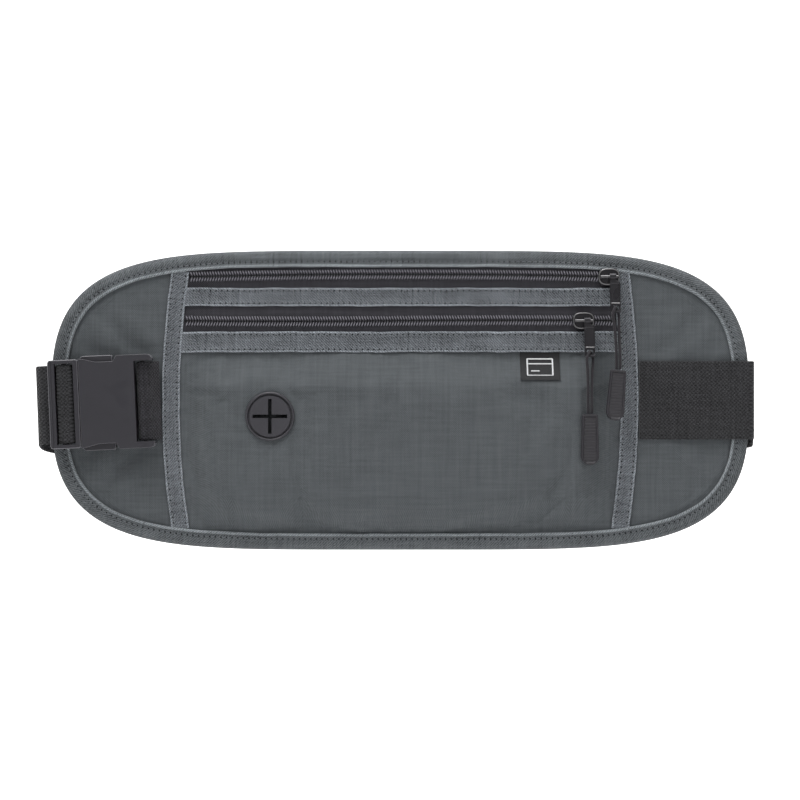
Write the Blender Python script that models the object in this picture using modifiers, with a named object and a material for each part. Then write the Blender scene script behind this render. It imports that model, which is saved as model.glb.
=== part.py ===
"""Money belt: a flat two-zip waist pouch on an elastic strap with a side-release buckle.

Metres, +Z up, worn upright: the front faces -Y and the strap's back run lies in the plane y = 0.
The strap leaves the right seam, folds round both ends of the pouch and ends in the buckle's plug.
"""
import math

import bmesh
import bpy
from mathutils import Matrix, Vector

MM = 0.001
GAP = 0.3 * MM                       # kept between neighbours that touch on the real belt

# pouch outline: |x / half length| ** END_POWER + |z / half height| ** SIDE_POWER = 1
POUCH_LENGTH = 311 * MM
POUCH_HEIGHT = 133.4 * MM
END_POWER = 5
SIDE_POWER = 3
OUTLINE_POINTS = 128

# layers, as the y of each middle plane and its thickness
BACK_PANEL_Y, BACK_PANEL_THICK = -3.25 * MM, 0.5 * MM
LINING_Y, LINING_THICK = -3.95 * MM, 0.3 * MM
LINING_BOTTOM = 12.7 * MM            # above the pouch's lowest point
FRONT_LAYER_Y, FRONT_LAYER_THICK = -5.6 * MM, 0.6 * MM
TAPE_THICK = 0.6 * MM
DIVIDER_THICK = 0.5 * MM
DIVIDER_LOW_Y = -4.75 * MM           # its flange, behind the front panel
DIVIDER_HIGH_Y = -4.05 * MM          # behind the zips, clear of the lower slider's back plate
DIVIDER_CLIMB = 9.2 * MM             # height over which it changes
TAPE_Y = FRONT_LAYER_Y - FRONT_LAYER_THICK / 2 - 0.4 * MM - TAPE_THICK / 2

# binding round the edge
BINDING_WIDTH = 7.5 * MM
BINDING_WALL = 0.7 * MM
BINDING_FRONT_Y, BINDING_BACK_Y = -7.0 * MM, -2.0 * MM
BINDING_ROUND = 1.0 * MM
PANEL_INSET = BINDING_WALL + GAP

# seams between the wings and the middle of the front, bowed outwards
SEAM_X = POUCH_LENGTH / 2 - 53.5 * MM
SEAM_BOW = 3.9 * MM                  # how far the seam has come in at SEAM_BOW_Z
SEAM_BOW_Z = POUCH_HEIGHT / 2 - 11.7 * MM
SIDE_TAPE_WIDTH = 8.0 * MM

# zips and the tapes between them
UPPER_ZIP_Z = POUCH_HEIGHT / 2 - 11.9 * MM
LOWER_ZIP_Z = POUCH_HEIGHT / 2 - 31.4 * MM
ZIP_SLIT = 1.2 * MM
COIL_WIDTH = 2.0 * MM
COIL_THICK = 1.2 * MM
MIDDLE_TAPE_LOW, MIDDLE_TAPE_HIGH = POUCH_HEIGHT / 2 - 24.9 * MM, POUCH_HEIGHT / 2 - 16.7 * MM
LOWER_TAPE_LOW, LOWER_TAPE_HIGH = POUCH_HEIGHT / 2 - 45.4 * MM, POUCH_HEIGHT / 2 - 36.1 * MM

# room in the two pockets: the front panel and the divider stand out on a flat plateau
POCKET_DEPTH = 3.9 * MM              # front pocket: how much further the front panel stands out
REAR_POCKET_RISE = 3.9 * MM          # how far the divider stands out from its flange
SKIRT_TOP = 16.0 * MM
SKIRT_SIDE = 19.0 * MM
SKIRT_BOTTOM = 17.0 * MM
SHELL_COLUMNS, SHELL_ROWS = 40, 26

# sliders and their pulls
SLIDER_LENGTH = 9.3 * MM
SLIDER_HEIGHT = 7.4 * MM
SLIDER_PLATE = 1.0 * MM
SLIDER_BACK_PLATE = 0.5 * MM
SLIDER_WALL = 0.7 * MM
SLIDER_POST = 0.6 * MM
UPPER_SLIDER_X = SEAM_X - 9.3 * MM
LOWER_SLIDER_X = SEAM_X - 20.6 * MM
BRIDGE_RISE = 1.8 * MM               # bar axis in front of the slider's front plate
BRIDGE_RADIUS = 0.6 * MM
BRIDGE_SPAN = 7.6 * MM
TAB_LENGTH = 16.6 * MM
TAB_WIDTH = 4.6 * MM
TAB_THICK = 1.0 * MM
TAB_TILT = 12.0                      # degrees forward, where it lies against the slider
TAB_HOLE_DISTANCE = 14.3 * MM
TAB_HOLE_WIDTH, TAB_HOLE_HEIGHT = 3.0 * MM, 2.2 * MM
CORD_DIAMETER = 1.3 * MM
CORD_SPREAD = 1.6 * MM               # between the middles of the two legs
CORD_DROP = 28.0 * MM                # from the tab's hole down to the grip
GRIP_LENGTH = 23.0 * MM
GRIP_TOP_WIDTH, GRIP_BOTTOM_WIDTH = 6.9 * MM, 8.2 * MM
GRIP_THICK = 3.0 * MM

# grommet for an earphone lead
GROMMET_X, GROMMET_Z = 44.5 * MM - SEAM_X, LOWER_TAPE_LOW - 28.4 * MM
GROMMET_RADIUS = 10.9 * MM
GROMMET_DISC_RADIUS = 9.1 * MM
GROMMET_BARREL_RADIUS = 8.7 * MM
GROMMET_WALL = 0.7 * MM
GROMMET_SLOT_LENGTH, GROMMET_SLOT_WIDTH = 15.3 * MM, 1.55 * MM

# sewn-in label under the lower tape
LABEL_X = SEAM_X - 40.0 * MM
LABEL_WIDTH, LABEL_DROP, LABEL_THICK = 18.0 * MM, 12.5 * MM, 0.5 * MM

# strap
STRAP_WIDTH = 35.0 * MM
STRAP_THICK = 1.4 * MM
STRAP_RIGHT_REACH = POUCH_LENGTH / 2 + 2.0 * MM
STRAP_LEFT_REACH = POUCH_LENGTH / 2 + 6.1 * MM
STRAP_SPLIT_X = 11.75 * MM - STRAP_LEFT_REACH
STRAP_DROOP = 11.0 * MM              # how far the back run hangs down in the middle
STRAP_DROOP_POWER = 5
FOLD_CORNER = 2.2 * MM
WEBBING_THICK = 1.2 * MM

# buckle: its own frame is turned a little, as it hangs on the belt
BUCKLE_X, BUCKLE_Z = 36.6 * MM - STRAP_LEFT_REACH, -0.8 * MM
BUCKLE_TURN = 2.5                    # degrees, left end down
SOCKET_LENGTH = 32.4 * MM
SOCKET_HALF_HEIGHT = STRAP_WIDTH / 2 + 3.1 * MM
SOCKET_FRONT_Y, SOCKET_BACK_Y = -16.5 * MM, -8.5 * MM
SOCKET_WALL = 1.5 * MM
SOCKET_DIP = 2.3 * MM                # finger recess over the arms
SOCKET_BAR = 2.4 * MM
SOCKET_ROOM_END = 6.0 * MM             # where the barbs' room stops
SOCKET_WINDOW_WALL = 2.2 * MM        # between that room and the window for the webbing
SOCKET_BAR_LEAD = 2.3 * MM           # window's edge to the bar
SOCKET_BAR_SEAT = 1.9 * MM           # bar's back face to the socket's
PLUG_FRONT_Y, PLUG_BACK_Y = -15.6 * MM, -11.0 * MM
PLUG_HALF_HEIGHT = STRAP_WIDTH / 2 + 2.1 * MM
PLUG_BAR, PLUG_SLOT = 3.0 * MM, 2.6 * MM
ARM_SWING_Z = SOCKET_HALF_HEIGHT - 5.6 * MM
BARB_REACH = 1.7 * MM                # how far the barb stands out past the catch


# ---------------------------------------------------------------- shared formulas

def smooth(t):
    """0 below 0, 1 above 1, a soft S between them."""
    t = min(max(t, 0.0), 1.0)
    return t * t * (3 - 2 * t)


def outline(inset):
    """Points of the pouch's outline, moved inwards by inset along its normals."""
    half_length, half_height = POUCH_LENGTH / 2, POUCH_HEIGHT / 2
    points = []
    for step in range(OUTLINE_POINTS):
        angle = 2 * math.pi * (step + 0.5) / OUTLINE_POINTS
        c, s = math.cos(angle), math.sin(angle)
        x = math.copysign(abs(c) ** (2 / END_POWER), c)
        z = math.copysign(abs(s) ** (2 / SIDE_POWER), s)
        normal = Vector((math.copysign(END_POWER * abs(x) ** (END_POWER - 1) / half_length, c),
                         math.copysign(SIDE_POWER * abs(z) ** (SIDE_POWER - 1) / half_height, s)))
        normal.normalize()
        points.append((x * half_length - inset * normal.x, z * half_height - inset * normal.y))
    return points


def lower_edge(x, inset):
    """Height of the outline's lower side at x, inset upwards."""
    share = min(abs(x) / (POUCH_LENGTH / 2 - inset), 1.0)
    return -(POUCH_HEIGHT / 2 - inset) * (1 - share ** END_POWER) ** (1 / SIDE_POWER)


def seam_x(z):
    return SEAM_X - SEAM_BOW * (z / SEAM_BOW_Z) ** 2


def seam_band(low, high, inner, outer, rows=24):
    """Closed outline between two lines that run beside the right seam."""
    heights = [low + (high - low) * row / rows for row in range(rows + 1)]
    return ([(seam_x(z) + outer, z) for z in heights]
            + [(seam_x(z) + inner, z) for z in reversed(heights)])


def between_seams(low, high, margin, rows=6):
    """Closed outline from seam to seam, kept back from both by margin."""
    heights = [low + (high - low) * row / rows for row in range(rows + 1)]
    return ([(seam_x(z) - margin, z) for z in heights]
            + [(margin - seam_x(z), z) for z in reversed(heights)])


def plateau(x, z):
    """0 at the sewn edges of the front panel, 1 where it stands out over the pockets."""
    tape_edge = seam_x(z) - SIDE_TAPE_WIDTH / 2 - 1 * MM
    side = smooth((tape_edge - abs(x)) / SKIRT_SIDE)
    top = smooth((LOWER_TAPE_LOW - 0.8 * MM - z) / SKIRT_TOP)
    bottom = smooth((z - lower_edge(x, BINDING_WIDTH)) / SKIRT_BOTTOM)
    return side * top * bottom


def panel_y(x, z):
    """Middle of the front pocket's panel."""
    return FRONT_LAYER_Y - (POCKET_DEPTH + REAR_POCKET_RISE) * plateau(x, z)


def divider_y(x, z):
    """Middle of the divider: low behind the front panel, high behind the zips."""
    climb = smooth((z - LOWER_TAPE_LOW + DIVIDER_CLIMB / 4) / DIVIDER_CLIMB)
    base = DIVIDER_LOW_Y + (DIVIDER_HIGH_Y - DIVIDER_LOW_Y) * climb
    return base - REAR_POCKET_RISE * plateau(x, z)


def rounded_path(corners, steps=6):
    """Line through corners given as (x, y, radius), with an arc at each inner one."""
    points = [Vector(corners[0][:2])]
    for before, corner, after in zip(corners, corners[1:], corners[2:]):
        here = Vector(corner[:2])
        back = (Vector(before[:2]) - here).normalized()
        ahead = (Vector(after[:2]) - here).normalized()
        half = back.angle(ahead) / 2
        reach = corner[2] / math.tan(half)
        centre = here + (back + ahead).normalized() * corner[2] / math.sin(half)
        start = here + back * reach - centre
        end = here + ahead * reach - centre
        turn = start.angle_signed(end)
        for step in range(steps + 1):
            points.append(centre + Matrix.Rotation(-turn * step / steps, 2) @ start)
    points.append(Vector(corners[-1][:2]))
    return points


def divided(points, longest):
    """The same line with no stretch longer than longest."""
    result = [points[0]]
    for a, b in zip(points, points[1:]):
        count = max(1, math.ceil((b - a).length / longest))
        result.extend(a.lerp(b, step / count) for step in range(1, count + 1))
    return result


def thick_line(points, thickness):
    """Closed outline of a line drawn with a thickness."""
    left, right = [], []
    for index, point in enumerate(points):
        before = (point - points[index - 1]).normalized() if index else None
        after = (points[index + 1] - point).normalized() if index + 1 < len(points) else None
        along = ((before or after) + (after or before)).normalized()
        across = Vector((-along.y, along.x))
        spread = thickness / 2 / max(across.dot(Vector((-(after or before).y, (after or before).x))), 0.5)
        left.append(point + across * spread)
        right.append(point - across * spread)
    return left + right[::-1]


def smooth_route(points, spacing):
    """Evenly spaced points on a smooth curve through a cord's own points."""
    ends = [2 * points[0] - points[1], *points, 2 * points[-1] - points[-2]]
    fine = []
    for p0, p1, p2, p3 in zip(ends, ends[1:], ends[2:], ends[3:]):
        for step in range(20):
            t = step / 20
            fine.append(0.5 * (2 * p1 + (p2 - p0) * t + (2 * p0 - 5 * p1 + 4 * p2 - p3) * t ** 2
                               + (3 * p1 - p0 - 3 * p2 + p3) * t ** 3))
    fine.append(points[-1])
    total = sum((b - a).length for a, b in zip(fine, fine[1:]))
    count = round(total / spacing)
    route, walked, target = [fine[0]], 0.0, total / count
    for a, b in zip(fine, fine[1:]):
        length = (b - a).length
        while walked + length >= target and len(route) < count:
            route.append(a.lerp(b, (target - walked) / length))
            target += total / count
        walked += length
    return route + [fine[-1]]


# ---------------------------------------------------------------- modelling helpers

PLANES = {
    "xy": Matrix.Identity(3),                            # thickness along +Z
    "xz": Matrix(((1, 0, 0), (0, 0, -1), (0, 1, 0))),    # thickness along -Y
    "yz": Matrix(((0, 0, 1), (1, 0, 0), (0, 1, 0))),     # thickness along +X
}


class Workshop:
    """The two collections, and the material of each kind of stuff."""

    def __init__(self):
        for old in list(bpy.data.objects):
            bpy.data.objects.remove(old, do_unlink=True)
        self.parts = self.collection("money_belt")
        self.cutters = self.collection("cutters")

    def collection(self, name):
        made = bpy.data.collections.new(name)
        bpy.context.scene.collection.children.link(made)
        return made

    def finish(self, piece, stuff):
        colour, roughness, metallic = STUFFS[stuff]
        material = bpy.data.materials.new(piece.name)
        material.use_nodes = True
        shader = material.node_tree.nodes["Principled BSDF"]
        shader.inputs["Base Color"].default_value = (*colour, 1)
        shader.inputs["Roughness"].default_value = roughness
        shader.inputs["Metallic"].default_value = metallic
        piece.data.materials.clear()
        piece.data.materials.append(material)
        return piece


STUFFS = {
    "fabric": ((0.085, 0.093, 0.098), 0.85, 0.0),
    "lining": ((0.30, 0.31, 0.32), 0.55, 0.2),
    "tape": ((0.125, 0.133, 0.142), 0.9, 0.0),
    "zip_tape": ((0.032, 0.030, 0.036), 0.85, 0.0),
    "coil": ((0.022, 0.021, 0.025), 0.45, 0.0),
    "strap": ((0.036, 0.036, 0.038), 0.9, 0.0),
    "plastic": ((0.047, 0.046, 0.052), 0.45, 0.0),
    "rubber": ((0.045, 0.040, 0.046), 0.7, 0.0),
    "metal": ((0.06, 0.055, 0.055), 0.35, 0.9),
    "cord": ((0.03, 0.028, 0.032), 0.85, 0.0),
    "label": ((0.015, 0.015, 0.016), 0.8, 0.0),
}

shop = Workshop()


def link(name, mesh):
    piece = bpy.data.objects.new(name, mesh)
    shop.parts.objects.link(piece)
    return piece


def slab(name, points, plane, low, high):
    """Flat outline with a thickness from low to high along the plane's third axis."""
    curve = bpy.data.curves.new(name, "CURVE")
    curve.dimensions = "2D"
    curve.fill_mode = "BOTH"
    curve.extrude = (high - low) / 2
    spline = curve.splines.new("POLY")
    spline.points.add(len(points) - 1)
    for place, (x, y) in zip(spline.points, points):
        place.co = (x, y, 0, 1)
    spline.use_cyclic_u = True
    drawn = link(name + "_drawn", curve)
    middle = Vector((0, 0, (low + high) / 2))
    if plane == "xz":
        middle.z = -middle.z
    turned = PLANES[plane].to_4x4()
    drawn.matrix_world = Matrix.Translation(PLANES[plane] @ middle) @ turned
    return as_mesh(name, drawn)


def as_mesh(name, drawn):
    """Turn a curve object into a closed mesh in its place and remove the curve."""
    bpy.context.view_layer.update()
    mesh = bpy.data.meshes.new_from_object(drawn.evaluated_get(bpy.context.evaluated_depsgraph_get()))
    mesh.transform(drawn.matrix_world)
    form = bmesh.new()
    form.from_mesh(mesh)
    bmesh.ops.remove_doubles(form, verts=form.verts, dist=0.001 * MM)
    bmesh.ops.recalc_face_normals(form, faces=form.faces)
    form.to_mesh(mesh)
    form.free()
    curve = drawn.data
    bpy.data.objects.remove(drawn)
    bpy.data.curves.remove(curve)
    return link(name, mesh)


def box(name, low, high):
    """Block between two corners."""
    low, high = Vector(low), Vector(high)
    form = bmesh.new()
    bmesh.ops.create_cube(form, size=1)
    for vertex in form.verts:
        vertex.co = (low + high) / 2 + vertex.co * (high - low)
    mesh = bpy.data.meshes.new(name)
    form.to_mesh(mesh)
    form.free()
    return link(name, mesh)


def rod(name, centre, radius, length, axis="X", sides=24):
    """Round bar along X, Y or Z."""
    form = bmesh.new()
    bmesh.ops.create_cone(form, cap_ends=True, segments=sides, radius1=radius, radius2=radius, depth=length)
    turn = {"X": Matrix.Rotation(math.pi / 2, 3, "Y"), "Y": Matrix.Rotation(math.pi / 2, 3, "X"),
            "Z": Matrix.Identity(3)}[axis]
    bmesh.ops.rotate(form, verts=form.verts, cent=(0, 0, 0), matrix=turn)
    bmesh.ops.translate(form, verts=form.verts, vec=centre)
    mesh = bpy.data.meshes.new(name)
    form.to_mesh(mesh)
    form.free()
    return link(name, mesh)


def combine(piece, tool, operation):
    """Boolean with a tool that is then kept as a hidden cutter."""
    change = piece.modifiers.new(tool.name, "BOOLEAN")
    change.operation = operation
    change.solver = "EXACT"
    change.object = tool
    shop.parts.objects.unlink(tool)
    shop.cutters.objects.link(tool)
    tool.hide_render = True
    tool.display_type = "WIRE"
    return piece


def cut(piece, *tools):
    for tool in tools:
        combine(piece, tool, "DIFFERENCE")
    return piece


def join(piece, *tools):
    for tool in tools:
        combine(piece, tool, "UNION")
    return piece


def keep_inside(piece, tool):
    return combine(piece, tool, "INTERSECT")


def round_edges(piece, width, segments=2, angle=50):
    bevel = piece.modifiers.new("round", "BEVEL")
    bevel.width = width
    bevel.segments = segments
    bevel.limit_method = "ANGLE"
    bevel.angle_limit = math.radians(angle)
    weld = piece.modifiers.new("weld", "WELD")
    weld.merge_threshold = 0.01 * MM
    return piece


def tools_of(piece):
    """The cutters a piece uses, and theirs."""
    found = []
    for change in piece.modifiers:
        if change.type == "BOOLEAN":
            found += [change.object, *tools_of(change.object)]
    return found


def place(piece, frame):
    """Hang a piece, drawn in a frame's own axes, on that frame with its cutters."""
    for each in [piece, *tools_of(piece)]:
        each.parent = frame
    return piece


def frame_at(name, location, turn=(0, 0, 0), parent=None):
    empty = bpy.data.objects.new(name, None)
    empty.empty_display_size = 5 * MM
    empty.location = location
    empty.rotation_euler = turn
    empty.parent = parent
    shop.parts.objects.link(empty)
    return empty


def symmetric(points):
    """Closed outline from its upper half, drawn again below z = 0."""
    return points + [(x, -z) for x, z in reversed(points)]


def rounded_outline(half_length, half_height, power, count=32):
    """Superellipse, the shape of a slider's plates."""
    points = []
    for step in range(count):
        angle = 2 * math.pi * step / count
        c, s = math.cos(angle), math.sin(angle)
        points.append((math.copysign(abs(c) ** (2 / power), c) * half_length,
                       math.copysign(abs(s) ** (2 / power), s) * half_height))
    return points


def layer(name, points, middle_y, thickness):
    return slab(name, points, "xz", middle_y - thickness / 2, middle_y + thickness / 2)


def shell(name, reach, low, high, middle_y, thickness):
    """Sewn panel that stands out over a pocket: an open surface made solid.

    reach(z) is its half width, low(x) its lower edge and high its upper one.
    """
    form = bmesh.new()
    bmesh.ops.create_grid(form, x_segments=SHELL_COLUMNS, y_segments=SHELL_ROWS, size=1)
    for vertex in form.verts:
        across, up = vertex.co.x, (vertex.co.y + 1) / 2
        middle_low = low(across * SEAM_X)
        x = across * reach(middle_low + (high - middle_low) * up)
        z = low(x) + (high - low(x)) * up
        vertex.co = (x, middle_y(x, z), z)
    mesh = bpy.data.meshes.new(name)
    form.to_mesh(mesh)
    form.free()
    piece = link(name, mesh)
    wall = piece.modifiers.new("cloth", "SOLIDIFY")
    wall.thickness = thickness
    wall.offset = 0
    wall.use_even_offset = True
    return piece


def turned(name, profile, centre, steps=48):
    """Ring turned about the Y axis; profile gives (radius, y), front first, outer side first."""
    mesh = bpy.data.meshes.new(name)
    count = len(profile)
    mesh.from_pydata([(radius, 0, -y) for radius, y in profile],
                     [(index, (index + 1) % count) for index in range(count)], [])
    piece = link(name, mesh)
    screw = piece.modifiers.new("turn", "SCREW")
    screw.steps = screw.render_steps = steps
    screw.use_merge_vertices = True
    screw.merge_threshold = 0.01 * MM
    piece.location = centre
    piece.rotation_euler = (math.pi / 2, 0, 0)
    return piece


# ---------------------------------------------------------------- the pouch

def make_back():
    shop.finish(layer("back_panel", outline(PANEL_INSET), BACK_PANEL_Y, BACK_PANEL_THICK), "fabric")
    half, low, high = SEAM_X - 7 * MM, LINING_BOTTOM - POUCH_HEIGHT / 2, LOWER_TAPE_LOW - 3.3 * MM
    lining = [(-half, low), (half, low), (half, high), (-half, high)]
    shop.finish(layer("blocking_lining", lining, LINING_Y, LINING_THICK), "lining")


def make_pockets():
    divider = shell("pocket_divider", lambda z: seam_x(z) - 2 * GAP,
                    lambda x: lower_edge(x, PANEL_INSET + GAP), MIDDLE_TAPE_HIGH - 2 * MM,
                    divider_y, DIVIDER_THICK)
    shop.finish(divider, "fabric")
    panel = shell("front_pocket_panel", lambda z: seam_x(z) - GAP,
                  lambda x: lower_edge(x, PANEL_INSET + GAP), zip_edges()[3][0] - GAP,
                  panel_y, FRONT_LAYER_THICK)
    hole = rod("grommet_hole", (GROMMET_X, panel_y(GROMMET_X, GROMMET_Z), GROMMET_Z),
               GROMMET_BARREL_RADIUS + GAP, 8 * MM, "Y", 48)
    shop.finish(cut(panel, hole), "fabric")


def make_wings():
    reach = POUCH_LENGTH / 2
    tall = POUCH_HEIGHT / 2
    for name, side in (("right_wing_panel", 1), ("left_wing_panel", -1)):
        heights = [-tall + 2 * tall * row / 24 for row in range(25)]
        region = [(side * (seam_x(z) + GAP), z) for z in heights]
        region += [(side * reach, tall), (side * reach, -tall)]
        wing = layer(name, region, FRONT_LAYER_Y, FRONT_LAYER_THICK)
        inside = layer(name + "_edge", outline(PANEL_INSET), FRONT_LAYER_Y, 2 * FRONT_LAYER_THICK)
        shop.finish(keep_inside(wing, inside), "fabric")


def zip_edges():
    """Lower and upper height of each zip tape half, from the top down."""
    half = ZIP_SLIT / 2
    middle = (MIDDLE_TAPE_LOW + MIDDLE_TAPE_HIGH) / 2
    lowest = (LOWER_TAPE_LOW + LOWER_TAPE_HIGH) / 2
    return [(UPPER_ZIP_Z + half, POUCH_HEIGHT / 2), (middle + GAP / 2, UPPER_ZIP_Z - half),
            (LOWER_ZIP_Z + half, middle - GAP / 2), (lowest, LOWER_ZIP_Z - half)]


def make_zips():
    names = ("upper_zip_tape_top", "upper_zip_tape_bottom", "lower_zip_tape_top", "lower_zip_tape_bottom")
    for name, (low, high) in zip(names, zip_edges()):
        tape = layer(name, between_seams(low, high, GAP), FRONT_LAYER_Y, FRONT_LAYER_THICK)
        inside = layer(name + "_edge", outline(PANEL_INSET), FRONT_LAYER_Y, 2 * FRONT_LAYER_THICK)
        shop.finish(keep_inside(tape, inside), "zip_tape")
    front = FRONT_LAYER_Y - FRONT_LAYER_THICK / 2 - GAP
    for label, zip_z in (("upper", UPPER_ZIP_Z), ("lower", LOWER_ZIP_Z)):
        reach = seam_x(zip_z + COIL_WIDTH) - SIDE_TAPE_WIDTH / 2 - 2 * GAP
        for end, side in (("top", 1), ("bottom", -1)):
            near, far = zip_z + side * ZIP_SLIT / 2, zip_z + side * (ZIP_SLIT / 2 + COIL_WIDTH)
            name = f"{label}_zip_coil_{end}"
            coil = box(name, (-reach, front - COIL_THICK, min(near, far)), (reach, front, max(near, far)))
            inside = layer(name + "_edge", outline(BINDING_WIDTH + GAP), front, 4 * COIL_THICK)
            shop.finish(keep_inside(round_edges(coil, 0.4 * MM), inside), "coil")


def make_tapes():
    half = SIDE_TAPE_WIDTH / 2
    tall = POUCH_HEIGHT / 2
    for name, side in (("right_side_tape", 1), ("left_side_tape", -1)):
        band = [(side * x, z) for x, z in seam_band(-tall, tall, -half, half)]
        tape = layer(name, band, TAPE_Y, TAPE_THICK)
        inside = layer(name + "_edge", outline(BINDING_WIDTH + GAP), TAPE_Y, 2 * TAPE_THICK)
        shop.finish(keep_inside(tape, inside), "tape")
    for name, low, high in (("middle_tape", MIDDLE_TAPE_LOW, MIDDLE_TAPE_HIGH),
                            ("lower_tape", LOWER_TAPE_LOW, LOWER_TAPE_HIGH)):
        shop.finish(layer(name, between_seams(low, high, half + GAP), TAPE_Y, TAPE_THICK), "tape")


def make_binding():
    """U-shaped tape round the edge: its slot holds the edges of the panels."""
    depth = BINDING_BACK_Y - BINDING_FRONT_Y
    middle = (BINDING_BACK_Y + BINDING_FRONT_Y) / 2
    ring = layer("edge_binding", outline(0), middle, depth)
    round_edges(ring, BINDING_ROUND)
    window = layer("binding_window", outline(BINDING_WIDTH), middle, 2 * depth)
    slot = layer("binding_slot", outline(BINDING_WALL), middle, depth - 2 * BINDING_WALL)
    shop.finish(cut(ring, window, slot), "tape")


def make_grommet():
    front = panel_y(GROMMET_X, -20 * MM) - FRONT_LAYER_THICK / 2 - GAP
    inner, barrel, outer = GROMMET_BARREL_RADIUS - GROMMET_WALL, GROMMET_BARREL_RADIUS, GROMMET_RADIUS
    rim = GROMMET_DISC_RADIUS + GAP
    seat, lip, edge = 0.4 * MM, 1.1 * MM, 0.4 * MM
    centre = (GROMMET_X, 0, GROMMET_Z)
    profile = [(inner, front - seat), (rim, front - seat), (rim, front - lip + edge), (rim + edge, front - lip),
               (outer - edge, front - lip), (outer, front - lip + edge), (outer, front), (barrel, front),
               (barrel, front + 1.9 * MM), (inner, front + 1.9 * MM)]
    shop.finish(turned("grommet_ring", profile, centre), "rubber")
    disc_y = front - seat - GAP - 0.2 * MM
    disc = rod("grommet_diaphragm", (GROMMET_X, disc_y, GROMMET_Z), GROMMET_DISC_RADIUS, 0.4 * MM, "Y", 48)
    half, slim = GROMMET_SLOT_LENGTH / 2, GROMMET_SLOT_WIDTH / 2
    across = box("slot_across", (GROMMET_X - half, disc_y - MM, GROMMET_Z - slim),
                 (GROMMET_X + half, disc_y + MM, GROMMET_Z + slim))
    along = box("slot_along", (GROMMET_X - slim, disc_y - MM, GROMMET_Z - half),
                (GROMMET_X + slim, disc_y + MM, GROMMET_Z + half))
    shop.finish(cut(disc, join(across, along)), "rubber")
    back = front + GAP + FRONT_LAYER_THICK + GAP
    washer = [(barrel + GAP, back), (outer - GAP, back),
              (outer - GAP, back + 0.5 * MM), (barrel + GAP, back + 0.5 * MM)]
    shop.finish(turned("grommet_back_washer", washer, centre), "rubber")


def make_label():
    """Folded label under the lower tape, lying on the panel's slope."""
    stand_off = FRONT_LAYER_THICK / 2 + 0.5 * MM + LABEL_THICK / 2
    heights = [LOWER_TAPE_LOW - GAP - LABEL_DROP * row / 12 for row in range(13)]
    line = [Vector((panel_y(LABEL_X, z) - stand_off, z)) for z in heights]
    label = slab("woven_label", thick_line(line, LABEL_THICK), "yz",
                 LABEL_X - LABEL_WIDTH / 2, LABEL_X + LABEL_WIDTH / 2)
    shop.finish(label, "label")


# ---------------------------------------------------------------- sliders and pulls

# the bridge's bar, from the middle of the zip's tape
BAR_Y = -(FRONT_LAYER_THICK / 2 + GAP + COIL_THICK + GAP + SLIDER_PLATE + BRIDGE_RISE)


def make_slider(name, x, z):
    frame = frame_at(name + "_frame", (x, FRONT_LAYER_Y, z))
    plate_back = BAR_Y + BRIDGE_RISE + SLIDER_PLATE
    half, tall = SLIDER_LENGTH / 2, SLIDER_HEIGHT / 2
    plate = slab(name, rounded_outline(half, tall, 3), "xz", plate_back - SLIDER_PLATE, plate_back)
    round_edges(plate, 0.35 * MM)
    rear_y = FRONT_LAYER_THICK / 2 + GAP
    rear = slab(name + "_rear", rounded_outline(half - 0.3 * MM, tall - 0.2 * MM, 3), "xz",
                rear_y, rear_y + SLIDER_BACK_PLATE)
    post = box(name + "_post", (-3.0 * MM, plate_back - 0.2 * MM, -SLIDER_POST / 2),
               (-1.2 * MM, rear_y + SLIDER_BACK_PLATE / 2, SLIDER_POST / 2))
    wall_end = TAPE_Y - TAPE_THICK / 2 - GAP - FRONT_LAYER_Y - 0.1 * MM
    walls = [box(f"{name}_wall_{number}", (-half * 0.72, plate_back - 0.5 * MM, min(near, far)),
                 (half * 0.72, wall_end, max(near, far)))
             for number, (near, far) in enumerate(((tall - SLIDER_WALL, tall), (SLIDER_WALL - tall, -tall)))]
    reach = BRIDGE_SPAN / 2
    feet = [box(f"{name}_foot_{number}", (min(near, far), BAR_Y - 0.3 * MM, -0.8 * MM),
                (max(near, far), plate_back - SLIDER_PLATE / 2, 0.8 * MM))
            for number, (near, far) in enumerate(((reach - 0.6 * MM, reach + 0.4 * MM),
                                                  (0.6 * MM - reach, -0.4 * MM - reach)))]
    bar = rod(name + "_bar", (0, BAR_Y, 0), BRIDGE_RADIUS, BRIDGE_SPAN, "X")
    shop.finish(place(join(plate, rear, post, *walls, *feet, bar), frame), "metal")


def make_tab(name, x, z):
    """Flat metal tab that hangs on the slider's bar, off its middle."""
    frame = frame_at(name + "_frame", (x, FRONT_LAYER_Y + BAR_Y, z), (-math.radians(TAB_TILT), 0, 0))
    left = 0.1 * MM
    right, neck = left + TAB_WIDTH, left + 2.8 * MM
    round_off = 0.7 * MM
    shape = [(left, -0.6 * MM), (neck, -0.6 * MM), (neck, -2.0 * MM), (right - round_off, -2.2 * MM),
             (right, -2.9 * MM), (right, round_off - TAB_LENGTH), (right - round_off, -TAB_LENGTH),
             (left + round_off, -TAB_LENGTH), (left, round_off - TAB_LENGTH)]
    tab = slab(name, shape, "xz", -TAB_THICK / 2, TAB_THICK / 2)
    round_edges(tab, 0.2 * MM)
    middle = (left + neck) / 2
    bore_radius = BRIDGE_RADIUS + GAP
    knuckle = rod(name + "_knuckle", (middle, 0, 0), bore_radius + 0.5 * MM, neck - left - 0.1 * MM, "X")
    bore = rod(name + "_bore", (middle, 0, 0), bore_radius, 2 * TAB_WIDTH, "X")
    hole_x = (left + right) / 2
    hole = slab(name + "_hole", [(hole_x + a, b - TAB_HOLE_DISTANCE) for a, b in
                                 rounded_outline(TAB_HOLE_WIDTH / 2, TAB_HOLE_HEIGHT / 2, 3)],
                "xz", -TAB_THICK, TAB_THICK)
    shop.finish(place(cut(join(tab, knuckle), bore, hole), frame), "metal")


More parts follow.
